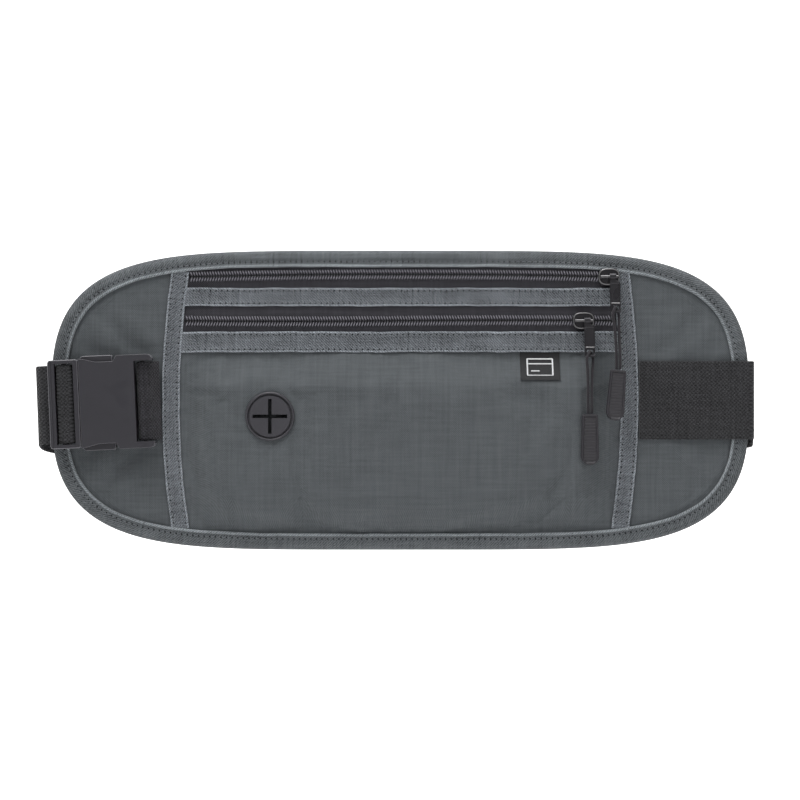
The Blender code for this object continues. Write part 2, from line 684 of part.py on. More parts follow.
def hole_of(x, z):
    """Where a tab's hole lies, with its slider at x, z."""
    tilt = math.radians(TAB_TILT)
    return Vector((x + 0.1 * MM + TAB_WIDTH / 2, FRONT_LAYER_Y + BAR_Y - TAB_HOLE_DISTANCE * math.sin(tilt),
                   z - TAB_HOLE_DISTANCE * math.cos(tilt)))


GRIP_Y = -17.0 * MM


def pull_route(hole, offset):
    """A cord's own points, from the tab's hole: up in front, through the hole, down behind."""
    grip_y = (GRIP_Y - hole.y) / MM
    foot = (0.3 * MM - CORD_DROP) / MM
    leg = CORD_SPREAD / MM / 2
    points = [(offset - leg, grip_y, foot), (offset - leg, grip_y, foot + 4), (0.8 * offset - 0.85, -3.2, -16),
              (0.4 * offset - 0.9, -2.5, -8), (-0.9, -2.0, -3.2), (-0.7, -1.6, -0.8), (-0.2, -0.55, 0.15),
              (0.2, 0.55, 0.1), (0.7, 1.3, -1.0), (0.9, 1.1, -3.2), (0.4 * offset + 0.9, -0.7, -9),
              (0.8 * offset + 0.85, -2.5, -17), (offset + leg, grip_y, foot + 4), (offset + leg, grip_y, foot)]
    return [Vector(point) * MM for point in points]


def make_cord_and_grip(side, x, z, offset, lean):
    hole = hole_of(x, z)
    frame = frame_at(side + "_grip_frame", hole)
    curve = bpy.data.curves.new(side + "_pull_cord", "CURVE")
    curve.dimensions = "3D"
    curve.bevel_depth = CORD_DIAMETER / 2
    curve.bevel_resolution = 2
    curve.use_fill_caps = True
    route = smooth_route(pull_route(hole, offset / MM), 1.1 * MM)
    spline = curve.splines.new("POLY")
    spline.points.add(len(route) - 1)
    for place_on, point in zip(spline.points, route):
        place_on.co = (*point, 1)
    cord = link(side + "_pull_cord", curve)
    shop.finish(place(cord, frame), "cord")

    top, bottom = GRIP_TOP_WIDTH / 2, GRIP_BOTTOM_WIDTH / 2
    corner = 0.6 * MM
    low = bottom - GRIP_LENGTH
    shape = [(corner - top, 0), (top - corner, 0), (top, -corner)]
    shape += [(bottom * math.cos(a), low + bottom * math.sin(a))
              for a in (-math.pi * step / 16 for step in range(17))]
    shape.append((-top, -corner))
    middle = GRIP_Y - hole.y
    grip = slab(side + "_pull_grip", shape, "xz", middle - GRIP_THICK / 2, middle + GRIP_THICK / 2)
    hang = Matrix.Translation((offset, 0, -CORD_DROP)) @ Matrix.Rotation(math.radians(lean), 4, "Y")
    grip.data.transform(hang)
    round_edges(grip, 0.5 * MM)
    shop.finish(place(grip, frame), "rubber")


# ---------------------------------------------------------------- strap

def back_run_shift(x):
    """How far the back run hangs below the strap's middle at x."""
    left_drop = BUCKLE_Z - (STRAP_LEFT_REACH + BUCKLE_X) * math.sin(math.radians(BUCKLE_TURN))
    fold = POUCH_LENGTH / 2
    share = min(abs(x) / fold, 1.0)
    level = left_drop * min(max((fold - x) / (2 * fold), 0.0), 1.0)
    return level - STRAP_DROOP * (1 - share ** STRAP_DROOP_POWER)


def make_waist_strap():
    half = STRAP_THICK / 2
    wing_front = FRONT_LAYER_Y - FRONT_LAYER_THICK / 2
    seam_y = wing_front - GAP - half
    over_y = BINDING_FRONT_Y - 0.4 * MM - half
    start = SEAM_X + SIDE_TAPE_WIDTH / 2 + 0.4 * MM
    fold_x = STRAP_RIGHT_REACH - half
    path = rounded_path([(start, seam_y), (start + 12 * MM, seam_y, 8 * MM), (start + 30 * MM, over_y, 8 * MM),
                         (fold_x, over_y, FOLD_CORNER), (fold_x, -half, FOLD_CORNER),
                         (STRAP_SPLIT_X + GAP, -half)])
    strap = slab("waist_strap", thick_line(divided(path, 12 * MM), STRAP_THICK), "xy",
                 -STRAP_WIDTH / 2, STRAP_WIDTH / 2)
    for vertex in strap.data.vertices:
        if vertex.co.y > over_y / 2:
            vertex.co.z += back_run_shift(vertex.co.x)
    shop.finish(strap, "strap")


def make_strap_buckle_end():
    """The strap's last stretch: round the left fold, up over the plug's bar and back."""
    half = STRAP_THICK / 2
    run_y = PLUG_BACK_Y + GAP + half
    radius = (-half - run_y) / 2
    fold_x = half - STRAP_LEFT_REACH
    left_slot = BUCKLE_X + plug_slots()[0] + PLUG_SLOT / 2
    right_slot = BUCKLE_X + plug_slots()[1] + PLUG_SLOT / 2
    over_y = PLUG_CENTRE_BAR_Y - PLUG_CENTRE_BAR_THICK / 2 - GAP - half
    tail_y = run_y + STRAP_THICK + GAP
    turn = 0.9 * MM
    bend = radius * 0.999
    path = rounded_path([(STRAP_SPLIT_X, -half), (fold_x, -half, bend), (fold_x, run_y, bend),
                         (left_slot, run_y, turn), (left_slot, over_y, turn), (right_slot, over_y, turn),
                         (right_slot, tail_y, turn), (BUCKLE_X - 29.5 * MM, tail_y)])
    strap = slab("strap_buckle_end", thick_line(path, STRAP_THICK), "xy", -STRAP_WIDTH / 2, STRAP_WIDTH / 2)
    angle = math.radians(BUCKLE_TURN)
    for vertex in strap.data.vertices:
        x, y, z = vertex.co
        away = x - BUCKLE_X
        turned_x = BUCKLE_X + away * math.cos(angle) - z * math.sin(angle)
        turned_z = BUCKLE_Z + away * math.sin(angle) + z * math.cos(angle)
        share = smooth((-half - y) / (-half - tail_y - half))
        vertex.co.x += (turned_x - x) * share
        vertex.co.z = (z + back_run_shift(x)) * (1 - share) + turned_z * share
    shop.finish(strap, "strap")


# ---------------------------------------------------------------- buckle, drawn in its own frame

PLUG_CENTRE_BAR_Y, PLUG_CENTRE_BAR_THICK = -12.2 * MM, 2.0 * MM
MOUTH = -SOCKET_LENGTH / 2
PLUG_FACE = MOUTH - 0.4 * MM
PLUG_RIGHT_BAR = 2.2 * MM
CATCH, CATCH_WALL = -0.3 * MM, 1.3 * MM      # where the arms' catch wall starts, and how thick it is
DIP_RUN, DIP_END, DIP_RISE = 9 * MM, -0.7 * MM, 1.8 * MM
BARREL_LOW_Y = SOCKET_FRONT_Y + SOCKET_WALL
BARREL_HIGH_Y = SOCKET_BACK_Y - SOCKET_WALL


def plug_slots():
    """Left end of the left and of the right strap slot."""
    right = PLUG_FACE - PLUG_RIGHT_BAR - PLUG_SLOT
    return right - PLUG_BAR - PLUG_SLOT, right


def socket_edge(u):
    """Half height of the socket, with the finger recess over the arms."""
    mouth_drop = 0.9 * MM
    dip = mouth_drop + (SOCKET_DIP + 0.3 * MM - mouth_drop) * smooth((u - MOUTH) / DIP_RUN)
    return SOCKET_HALF_HEIGHT - dip * (1 - smooth((u - CATCH - DIP_END) / DIP_RISE))


def make_socket(frame):
    end = SOCKET_LENGTH / 2
    line = [MOUTH + DIP_RUN * step / 6 for step in range(7)]
    line += [CATCH + DIP_END + DIP_RISE * step / 4 for step in range(5)]
    upper = [(u, socket_edge(u)) for u in line]
    upper += [(end - 1.8 * MM, SOCKET_HALF_HEIGHT), (end - 0.6 * MM, SOCKET_HALF_HEIGHT - 0.6 * MM),
              (end, SOCKET_HALF_HEIGHT - 1.7 * MM)]
    body = slab("buckle_socket", symmetric(upper), "xz", SOCKET_FRONT_Y, SOCKET_BACK_Y)
    round_edges(body, 0.5 * MM)
    tall = SOCKET_HALF_HEIGHT
    throat, pocket = catch_height(), tall - 2.0 * MM
    web = STRAP_WIDTH / 2 + GAP
    window = SOCKET_ROOM_END + SOCKET_WINDOW_WALL
    mouth = box("socket_mouth", (MOUTH - MM, BARREL_LOW_Y, -tall - MM), (CATCH, BARREL_HIGH_Y, tall + MM))
    gate = box("socket_gate", (CATCH - MM, BARREL_LOW_Y, -throat),
               (CATCH + CATCH_WALL + MM, BARREL_HIGH_Y, throat))
    room = box("socket_room", (CATCH + CATCH_WALL, BARREL_LOW_Y, -pocket),
               (SOCKET_ROOM_END, BARREL_HIGH_Y, pocket))
    rear = box("socket_window", (window, SOCKET_FRONT_Y - MM, -web), (end + MM, SOCKET_BACK_Y + MM, web))
    cut(body, mouth, gate, room, rear)
    bar_left, bar_back = window + SOCKET_BAR_LEAD, SOCKET_BACK_Y - SOCKET_BAR_SEAT
    bar = box("socket_bar", (bar_left, bar_back - SOCKET_BAR, -web - 0.4 * MM),
              (bar_left + SOCKET_BAR, bar_back, web + 0.4 * MM))
    ribs = [box(f"socket_rib_{number}", (MOUTH + 2 * MM, BARREL_LOW_Y - 0.2 * MM, min(near, far)),
                (SOCKET_ROOM_END + 0.2 * MM, BARREL_HIGH_Y + 0.2 * MM, max(near, far)))
            for number, (near, far) in enumerate(((2.7 * MM, 3.9 * MM), (-2.7 * MM, -3.9 * MM)))]
    shop.finish(place(join(body, round_edges(bar, 0.5 * MM), *ribs), frame), "plastic")


def catch_height():
    """Half height of the gate that the arms' barbs catch behind."""
    return SOCKET_HALF_HEIGHT - 4.1 * MM


def make_plug(frame):
    left_slot, right_slot = plug_slots()
    left = left_slot - PLUG_BAR
    tall, web = PLUG_HALF_HEIGHT, STRAP_WIDTH / 2 + 0.4 * MM
    upper = [(left, tall - 1.2 * MM), (left + 0.35 * MM, tall - 0.35 * MM), (left + 1.2 * MM, tall),
             (PLUG_FACE - 0.7 * MM, tall), (PLUG_FACE, tall - 0.7 * MM)]
    body = slab("buckle_plug", symmetric(upper), "xz", PLUG_FRONT_Y, PLUG_BACK_Y)
    round_edges(body, 0.6 * MM)
    opening = box("plug_opening", (left_slot, PLUG_FRONT_Y - MM, -web),
                  (right_slot + PLUG_SLOT, PLUG_BACK_Y + MM, web))
    cut(body, opening)
    half = PLUG_CENTRE_BAR_THICK / 2
    bar = box("plug_bar", (left_slot + PLUG_SLOT, PLUG_CENTRE_BAR_Y - half, -web - 0.5 * MM),
              (right_slot, PLUG_CENTRE_BAR_Y + half, web + 0.5 * MM))
    tongue = symmetric([(PLUG_FACE - MM, 2.2 * MM), (1.5 * MM, 2.2 * MM), (3.6 * MM, 1.3 * MM)])
    guide = slab("plug_guide", tongue, "xz", BARREL_LOW_Y + MM, BARREL_HIGH_Y - MM)
    shop.finish(place(join(body, round_edges(bar, 0.4 * MM), guide), frame), "plastic")


def make_arms(frame):
    """Sprung arms: a button in the finger recess and a barb behind the catch wall."""
    pivot_u = PLUG_FACE - 0.9 * MM
    root = PLUG_FACE + 0.5 * MM
    gate = catch_height() - GAP
    barb = CATCH + CATCH_WALL + GAP
    button = SOCKET_HALF_HEIGHT + 0.3 * MM
    button_end = CATCH - 1.0 * MM
    swing = ARM_SWING_Z
    shape = [(root, swing - 2.0 * MM), (-4.0 * MM, swing - 0.8 * MM), (2.0 * MM, swing - 1.6 * MM),
             (4.6 * MM, swing - 1.0 * MM), (5.0 * MM, swing - 0.2 * MM), (barb + 1.9 * MM, gate + 0.8 * MM),
             (barb + 0.3 * MM, gate + GAP + BARB_REACH), (barb, gate + GAP + BARB_REACH), (barb, gate),
             (button_end + 0.2 * MM, gate), (button_end, button - 0.5 * MM), (button_end - 0.6 * MM, button),
             (root + 1.6 * MM, button), (root + 0.6 * MM, button - 0.7 * MM), (root, button - 2.3 * MM)]
    for name, side in (("buckle_upper_arm", 1), ("buckle_lower_arm", -1)):
        pivot = frame_at(name + "_pivot", (pivot_u, 0, side * ARM_SWING_Z), parent=frame)
        drawn = [(u - pivot_u, side * (z - ARM_SWING_Z)) for u, z in shape]
        arm = slab(name, drawn, "xz", BARREL_LOW_Y + GAP, BARREL_HIGH_Y - GAP)
        round_edges(arm, 0.3 * MM)
        shop.finish(place(arm, pivot), "plastic")


def make_buckle_webbing(frame):
    """Short loop from the left seam round the socket's bar."""
    half = WEBBING_THICK / 2
    bar_left = SOCKET_ROOM_END + SOCKET_WINDOW_WALL + SOCKET_BAR_LEAD
    bar_back = SOCKET_BACK_Y - SOCKET_BAR_SEAT
    front_y = bar_back - SOCKET_BAR - GAP - half
    back_y = bar_back + GAP + half
    left = bar_left - GAP - half
    end = SOCKET_LENGTH / 2 + 2.0 * MM
    seam_y = FRONT_LAYER_Y - FRONT_LAYER_THICK / 2 - 2 * GAP - half - 0.2 * MM
    path = rounded_path([(end, seam_y - WEBBING_THICK - 0.4 * MM), (left + 4.3 * MM, front_y, 1.5 * MM),
                         (left, front_y, 1.2 * MM), (left, back_y, 1.2 * MM), (left + 4.0 * MM, back_y, 1.5 * MM),
                         (left + 7.0 * MM, seam_y, 1.5 * MM), (end, seam_y)])
    webbing = slab("buckle_webbing", thick_line(path, WEBBING_THICK), "xy", -STRAP_WIDTH / 2, STRAP_WIDTH / 2)
    shop.finish(place(webbing, frame), "strap")


def main():
    make_back()
    make_pockets()
    make_wings()
    make_zips()
    make_tapes()
    make_binding()
    make_grommet()
    make_label()
    for side, x, z, offset, lean in (("upper", UPPER_SLIDER_X, UPPER_ZIP_Z, 0.9 * MM, 4.5),
                                     ("lower", LOWER_SLIDER_X, LOWER_ZIP_Z, -0.3 * MM, 0.0)):
        make_slider(side + "_slider", x, z)
        make_tab(side + "_pull_tab", x, z)
        make_cord_and_grip(side, x, z, offset, lean)
    make_waist_strap()
    make_strap_buckle_end()
    buckle = frame_at("buckle_frame", (BUCKLE_X, 0, BUCKLE_Z), (0, -math.radians(BUCKLE_TURN), 0))
    make_socket(buckle)
    make_plug(buckle)
    make_arms(buckle)
    make_buckle_webbing(buckle)
    bpy.context.view_layer.update()


main()
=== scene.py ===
# Money belt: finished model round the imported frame
import math
import random
import bmesh
import bpy
from mathutils import Matrix, Vector


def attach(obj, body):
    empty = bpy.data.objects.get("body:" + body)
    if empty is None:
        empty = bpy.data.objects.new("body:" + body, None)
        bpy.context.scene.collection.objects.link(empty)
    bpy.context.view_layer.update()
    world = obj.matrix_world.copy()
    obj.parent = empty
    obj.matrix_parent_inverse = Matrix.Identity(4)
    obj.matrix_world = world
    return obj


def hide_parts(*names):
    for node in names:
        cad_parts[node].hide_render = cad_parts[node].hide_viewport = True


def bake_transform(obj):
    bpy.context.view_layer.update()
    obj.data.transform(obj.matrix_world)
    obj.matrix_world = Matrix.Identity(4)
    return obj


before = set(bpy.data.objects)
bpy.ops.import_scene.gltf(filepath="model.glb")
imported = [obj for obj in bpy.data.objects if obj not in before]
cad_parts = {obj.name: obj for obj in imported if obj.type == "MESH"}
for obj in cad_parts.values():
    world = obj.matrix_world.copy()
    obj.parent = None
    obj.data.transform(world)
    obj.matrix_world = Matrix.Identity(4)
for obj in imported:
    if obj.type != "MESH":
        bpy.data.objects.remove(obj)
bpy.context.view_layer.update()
mm = 0.001
print("stage: frame loaded")

pouch = {
    "length": 311.0, "height": 133.4, "endPower": 5, "sidePower": 3,   # outline, as a superellipse
    "seamX": 102.0, "seamBow": 3.9, "seamBowZ": 55.0, "tapeWidth": 8.0,
    "bindingWidth": 7.5, "layerY": -5.6, "rise": 7.8, "skirtTop": 16.0, "skirtSide": 19.0, "skirtBottom": 17.0,
    "skirtGap": 1.0, "skirtTopGap": 0.8,
    "upperZip": 54.8, "lowerZip": 35.3,
    "middleTape": (41.8, 50.0), "lowerTape": (21.3, 30.6),
}


def v(x, y, z):
    return Vector((x * mm, y * mm, z * mm))


def smooth(t):
    t = min(max(t, 0.0), 1.0)
    return t * t * (3 - 2 * t)


def seamAt(z):
    return pouch["seamX"] - pouch["seamBow"] * (z / pouch["seamBowZ"]) ** 2


def outlinePoint(angle, inset):
    # point of the pouch's outline and its inward normal, both in the XZ plane
    a, b = pouch["length"] / 2, pouch["height"] / 2
    n, m = pouch["endPower"], pouch["sidePower"]
    c, s = math.cos(angle), math.sin(angle)
    x = math.copysign(abs(c) ** (2 / n), c)
    z = math.copysign(abs(s) ** (2 / m), s)
    normal = Vector((math.copysign(n * abs(x) ** (n - 1) / a, c), math.copysign(m * abs(z) ** (m - 1) / b, s)))
    normal.normalize()
    return Vector((x * a, z * b)) - normal * inset, -normal


def outlineLoop(inset, count):
    # evenly spaced points round the outline, with inward normals
    fine = [outlinePoint(2 * math.pi * (step + 0.5) / 4000, inset) for step in range(4000)]
    lengths = [0.0]
    for (p, _), (q, _) in zip(fine, fine[1:] + fine[:1]):
        lengths.append(lengths[-1] + (q - p).length)
    loop, index = [], 0
    for step in range(count):
        target = lengths[-1] * step / count
        while lengths[index + 1] < target:
            index += 1
        loop.append(fine[index])
    return loop, lengths[-1]


def edgeHeight(x, inset, sign):
    share = min(abs(x) / (pouch["length"] / 2 - inset), 1.0)
    return sign * (pouch["height"] / 2 - inset) * (1 - share ** pouch["endPower"]) ** (1 / pouch["sidePower"])


def plateau(x, z):
    side = smooth((seamAt(z) - pouch["tapeWidth"] / 2 - pouch["skirtGap"] - abs(x)) / pouch["skirtSide"])
    top = smooth((pouch["lowerTape"][0] - pouch["skirtTopGap"] - z) / pouch["skirtTop"])
    bottom = smooth((z - edgeHeight(x, pouch["bindingWidth"], -1)) / pouch["skirtBottom"])
    return side * top * bottom


def frontY(x, z):
    return pouch["layerY"] - pouch["rise"] * plateau(x, z)


def roundedPath(corners, steps=8):
    # flat line through (x, y, radius) corners, with an arc at each inner one
    points = [Vector(corners[0][:2])]
    for before, corner, after in zip(corners, corners[1:], corners[2:]):
        here = Vector(corner[:2])
        back = (Vector(before[:2]) - here).normalized()
        ahead = (Vector(after[:2]) - here).normalized()
        half = back.angle(ahead) / 2
        centre = here + (back + ahead).normalized() * corner[2] / math.sin(half)
        start = here + back * corner[2] / math.tan(half) - centre
        end = here + ahead * corner[2] / math.tan(half) - centre
        turn = start.angle_signed(end)
        for step in range(steps + 1):
            points.append(centre + Matrix.Rotation(-turn * step / steps, 2) @ start)
    points.append(Vector(corners[-1][:2]))
    return points


def divided(points, longest):
    result = [points[0]]
    for a, b in zip(points, points[1:]):
        count = max(1, math.ceil((b - a).length / longest))
        result.extend(a.lerp(b, step / count) for step in range(1, count + 1))
    return result


def addObject(name, data):
    piece = bpy.data.objects.new(name, data)
    bpy.context.scene.collection.objects.link(piece)
    return piece


def toMesh(form, name):
    mesh = bpy.data.meshes.new(name)
    form.to_mesh(mesh)
    form.free()
    return mesh


# per-vertex weights of a painted highlight, kept as the lip attribute
def storeHighlightWeights(mesh, values):
    raised = mesh.attributes.new("lip", "FLOAT", "POINT")
    raised.data.foreach_set("value", values)


def circle(sides):
    return [(math.cos(a), math.sin(a)) for a in (2 * math.pi * step / sides for step in range(sides))]


def shadeSmooth(piece, angle=40):
    piece.data.shade_smooth()
    piece.data.set_sharp_from_angle(angle=math.radians(angle))
    return piece


def loft(name, rings, closed=False, smoothAngle=40, lip=None):
    # closed cross-sections joined along a path; UV holds metres along and round
    form = bmesh.new()
    uvLayer = form.loops.layers.uv.new("UVMap")
    rows = [[form.verts.new(point) for point in ring] for ring in rings]
    size = len(rings[0])
    along = [0.0]
    for a, b in zip(rings, rings[1:] + rings[:1]):
        along.append(along[-1] + (b[0] - a[0]).length)
    around = [0.0]
    for a, b in zip(rings[0], rings[0][1:] + rings[0][:1]):
        around.append(around[-1] + (b - a).length)
    for row in range(len(rows) if closed else len(rows) - 1):
        after = (row + 1) % len(rows)
        for index in range(size):
            follow = (index + 1) % size
            face = form.faces.new((rows[row][index], rows[row][follow], rows[after][follow], rows[after][index]))
            corners = ((row, index), (row, index + 1), (row + 1, index + 1), (row + 1, index))
            for loop, (r, i) in zip(face.loops, corners):
                loop[uvLayer].uv = (along[r], around[i])
    if not closed:
        form.faces.new(rows[0])
        form.faces.new(list(reversed(rows[-1])))
    bmesh.ops.recalc_face_normals(form, faces=form.faces)
    mesh = toMesh(form, name)
    # lip weights say where the material paints a highlight
    if lip:
        storeHighlightWeights(mesh, [lip[index % size] for index in range(len(mesh.vertices))])
    return shadeSmooth(addObject(name, mesh), smoothAngle)


def tapeSection(width, thick, lip):
    # flat tape with raised woven edges
    half = width / 2
    return [(-half, 0.15), (-half + 0.15, thick + lip * 0.6), (-half + 0.6, thick + lip), (-half + 1.1, thick),
            (0, thick), (half - 1.1, thick), (half - 0.6, thick + lip), (half - 0.15, thick + lip * 0.6),
            (half, 0.15), (half - 0.3, 0), (0, 0), (0.3 - half, 0)]


# weights of a painted highlight along the tape's raised edges
tapeLipHighlight = [0.3, 1, 1, 0, 0, 0, 1, 1, 0.3, 0, 0, 0]


def panelGrid(name, columns, rows, place):
    # open cloth surface; place(u, w) with both 0..1 gives a point
    form = bmesh.new()
    uvLayer = form.loops.layers.uv.new("UVMap")
    grid = [[form.verts.new(place(i / columns, j / rows)) for i in range(columns + 1)] for j in range(rows + 1)]
    for j in range(rows):
        for i in range(columns):
            face = form.faces.new((grid[j][i], grid[j][i + 1], grid[j + 1][i + 1], grid[j + 1][i]))
            for loop in face.loops:
                loop[uvLayer].uv = (loop.vert.co.x, loop.vert.co.z)
    return addObject(name, toMesh(form, name))


fabric = {"quality": 6, "mass": 0.05, "tension_stiffness": 12, "compression_stiffness": 12, "shear_stiffness": 6,
          "bending_stiffness": 0.15, "air_damping": 4}


def billow(piece, pinned, pressure, slack, cap, frames=18):
    # the panel swells against its seams as cloth; nothing moves further than cap
    rest = [vertex.co.copy() for vertex in piece.data.vertices]
    group = piece.vertex_groups.new(name="pinned")
    for vertex in piece.data.vertices:
        group.add([vertex.index], pinned(vertex.co), "REPLACE")
    cloth = piece.modifiers.new("cloth", "CLOTH")
    settings = cloth.settings
    for name, value in fabric.items():
        setattr(settings, name, value)
    settings.effector_weights.gravity = 0
    settings.use_pressure = True
    settings.uniform_pressure_force = pressure
    settings.shrink_min = -slack
    settings.vertex_group_mass = "pinned"
    cloth.point_cache.frame_start, cloth.point_cache.frame_end = 1, frames
    scene = bpy.context.scene
    for step in range(1, frames + 1):
        scene.frame_set(step)
    result = bpy.data.meshes.new_from_object(piece.evaluated_get(bpy.context.evaluated_depsgraph_get()))
    for vertex, before, after in zip(piece.data.vertices, rest, result.vertices):
        move = after.co - before
        if move.length > cap * mm:
            move *= cap * mm / move.length
        vertex.co = before + move
    piece.modifiers.remove(cloth)
    piece.vertex_groups.clear()
    bpy.data.meshes.remove(result)
    scene.frame_set(1)


def thicken(piece, thickness):
    wall = piece.modifiers.new("wall", "SOLIDIFY")
    wall.thickness = thickness * mm
    wall.offset = 0
    return shadeSmooth(piece, 60)


def realise(piece):
    # turn live modifiers into a plain mesh
    bpy.context.view_layer.update()
    mesh = bpy.data.meshes.new_from_object(piece.evaluated_get(bpy.context.evaluated_depsgraph_get()))
    piece.modifiers.clear()
    piece.data = mesh
    return piece


# node helpers

def newNode(tree, kind, inputs=None, **settings):
    # inputs are values or other nodes' sockets, by name or by number
    node = tree.nodes.new(kind)
    for name, value in settings.items():
        setattr(node, name, value)
    for key, value in (inputs or {}).items():
        if isinstance(value, bpy.types.NodeSocket):
            tree.links.new(value, node.inputs[key])
        else:
            node.inputs[key].default_value = value
    return node


def calc(tree, operation, *values):
    return newNode(tree, "ShaderNodeMath", dict(enumerate(values)), operation=operation).outputs[0]


def groupTree(name, kind, inputs, outputs):
    tree = bpy.data.node_groups.new(name, kind)
    for socketName, socketKind, value in inputs:
        socket = tree.interface.new_socket(socketName, in_out="INPUT", socket_type="NodeSocket" + socketKind)
        if value is not None:
            socket.default_value = value
    for socketName, socketKind in outputs:
        tree.interface.new_socket(socketName, in_out="OUTPUT", socket_type="NodeSocket" + socketKind)
    return tree, tree.nodes.new("NodeGroupInput").outputs, tree.nodes.new("NodeGroupOutput").inputs


weaves = {
    "wobbleScale": 900, "wander": 9.0,             # how far a rough yarn strays
    "twillShare": 0.65, "crossShare": 0.35, "crossTurns": 1.5,
    "yarnScale": 60, "yarnDetail": 6, "yarnShare": 0.3,
    "slubScales": ((40, 900, 900), (900, 40, 40)),  # thick and thin yarns, as long streaks both ways
}


def weaveGroup():
    # woven relief in two directions, or a diagonal twill; Height and Shade are 0..1
    tree, start, end = groupTree("weave", "ShaderNodeTree",
                                 [("Vector", "Vector", None), ("Pitch", "Float", 0.001), ("Twill", "Float", 0.0),
                                  ("Rough yarn", "Float", 0.3), ("Streak", "Float", 0.8)],
                                 [("Height", "Float"), ("Shade", "Float")])
    place = start["Vector"]

    def do(operation, *values):
        return calc(tree, operation, *values)

    def noise(vector, scale, detail=2):
        return newNode(tree, "ShaderNodeTexNoise", {"Vector": vector, "Scale": scale, "Detail": detail}).outputs[0]

    x, y, z = newNode(tree, "ShaderNodeSeparateXYZ", {0: place}).outputs
    flow = do("MULTIPLY", do("SUBTRACT", noise(place, weaves["wobbleScale"]), 0.5), start["Rough yarn"])
    turns = do("DIVIDE", 2 * math.pi, start["Pitch"])
    u = do("ADD", do("MULTIPLY", x, turns), do("MULTIPLY", flow, weaves["wander"]))
    w = do("MULTIPLY", do("ADD", z, y), turns)
    plain = do("MULTIPLY", do("SINE", u), do("SINE", w))
    twill = do("MULTIPLY", do("SINE", do("ADD", u, w)), weaves["twillShare"])
    cross = do("SINE", do("MULTIPLY", do("SUBTRACT", u, w), weaves["crossTurns"]))
    twill = do("ADD", twill, do("MULTIPLY", cross, weaves["crossShare"]))
    mixed = newNode(tree, "ShaderNodeMix", {0: start["Twill"], 2: plain, 3: twill}).outputs[0]
    height = do("MULTIPLY_ADD", mixed, 0.5, 0.5)
    yarn = do("MULTIPLY", noise(place, weaves["yarnScale"], weaves["yarnDetail"]), weaves["yarnShare"])
    shade = do("ADD", do("MULTIPLY", height, 1 - weaves["yarnShare"]), yarn)
    for size in weaves["slubScales"]:
        stretched = newNode(tree, "ShaderNodeVectorMath", {0: place, 1: size}, operation="MULTIPLY").outputs[0]
        slub = do("MULTIPLY", do("SUBTRACT", noise(stretched, 1.0), 0.5), start["Streak"])
        shade = do("ADD", shade, slub)
    tree.links.new(height, end["Height"])
    tree.links.new(shade, end["Shade"])
    return tree


grains = {"broadScale": 70, "fineDetail": 3, "broadDetail": 5, "wornAbove": 0.62}


def grainGroup():
    # fine moulded grain with a few rubbed places; Height, Shade and Wear are 0..1
    tree, start, end = groupTree("grain", "ShaderNodeTree", [("Vector", "Vector", None), ("Scale", "Float", 1800.0)],
                                 [("Height", "Float"), ("Shade", "Float"), ("Wear", "Float")])
    fine = newNode(tree, "ShaderNodeTexNoise", {"Vector": start["Vector"], "Scale": start["Scale"],
                                                "Detail": grains["fineDetail"]}).outputs[0]
    broad = newNode(tree, "ShaderNodeTexNoise", {"Vector": start["Vector"], "Scale": grains["broadScale"],
                                                 "Detail": grains["broadDetail"]}).outputs[0]
    worn = calc(tree, "MULTIPLY", calc(tree, "GREATER_THAN", broad, grains["wornAbove"]), fine)
    for socket, name in ((fine, "Height"), (broad, "Shade"), (worn, "Wear")):
        tree.links.new(socket, end[name])
    return tree


weave = weaveGroup()
grain = grainGroup()


def linear(value):
    value /= 255
    return value / 12.92 if value <= 0.04045 else ((value + 0.055) / 1.055) ** 2.4


def baseMaterial(name, group, colour, contrast, bumpStrength, relief, lip, effectInputs, shaderInputs, useUv=False):
    # colour runs between two shades by the group's Shade; places with the lip attribute are lighter, a painted
    # highlight
    material = bpy.data.materials.new(name)
    material.use_nodes = True
    tree = material.node_tree
    shader = tree.nodes["Principled BSDF"]
    place = newNode(tree, "ShaderNodeTexCoord").outputs["UV" if useUv else "Object"]
    if useUv:
        place = newNode(tree, "ShaderNodeMapping", {0: place, "Rotation": (math.pi / 2, 0, 0)}).outputs[0]
    effect = newNode(tree, "ShaderNodeGroup", node_tree=group)
    tree.links.new(place, effect.inputs["Vector"])
    for key, value in effectInputs.items():
        effect.inputs[key].default_value = value
    tone = [linear(c) for c in colour]
    dark, light = ((*(c * share for c in tone), 1) for share in (1 - contrast, 1 + contrast))
    shown = newNode(tree, "ShaderNodeMix", {0: effect.outputs["Shade"], 6: dark, 7: light},
                    data_type="RGBA").outputs[2]
    # painted highlight: the colour is multiplied up where the lip attribute is set
    if lip:
        raised = newNode(tree, "ShaderNodeAttribute", attribute_name="lip").outputs["Fac"]
        gain = calc(tree, "MULTIPLY_ADD", raised, lip, 1.0)
        gain = newNode(tree, "ShaderNodeCombineColor", {0: gain, 1: gain, 2: gain}).outputs[0]
        shown = newNode(tree, "ShaderNodeMix", {0: 1.0, 6: shown, 7: gain},
                        data_type="RGBA", blend_type="MULTIPLY").outputs[2]
    bump = newNode(tree, "ShaderNodeBump", {"Strength": bumpStrength, "Distance": relief * mm,
                                            "Height": effect.outputs["Height"]})
    tree.links.new(shown, shader.inputs["Base Color"])
    tree.links.new(bump.outputs[0], shader.inputs["Normal"])
    for key, value in shaderInputs.items():
        shader.inputs[key].default_value = value
    return material, tree, shader, effect


def clothMaterial(name, colour, pitch, twill=0.0, useUv=False, contrast=0.35, relief=0.12, roughness=0.85, sheen=0.15,
                  streak=0.5, lip=0.0, rough=0.3):
    return baseMaterial(name, weave, colour, contrast, 0.7, relief, lip,
                        {"Pitch": pitch * mm, "Twill": twill, "Streak": streak, "Rough yarn": rough},
                        {"Roughness": roughness, "Sheen Weight": sheen, "Sheen Roughness": 0.5,
                         "Specular IOR Level": 0.25}, useUv)[0]


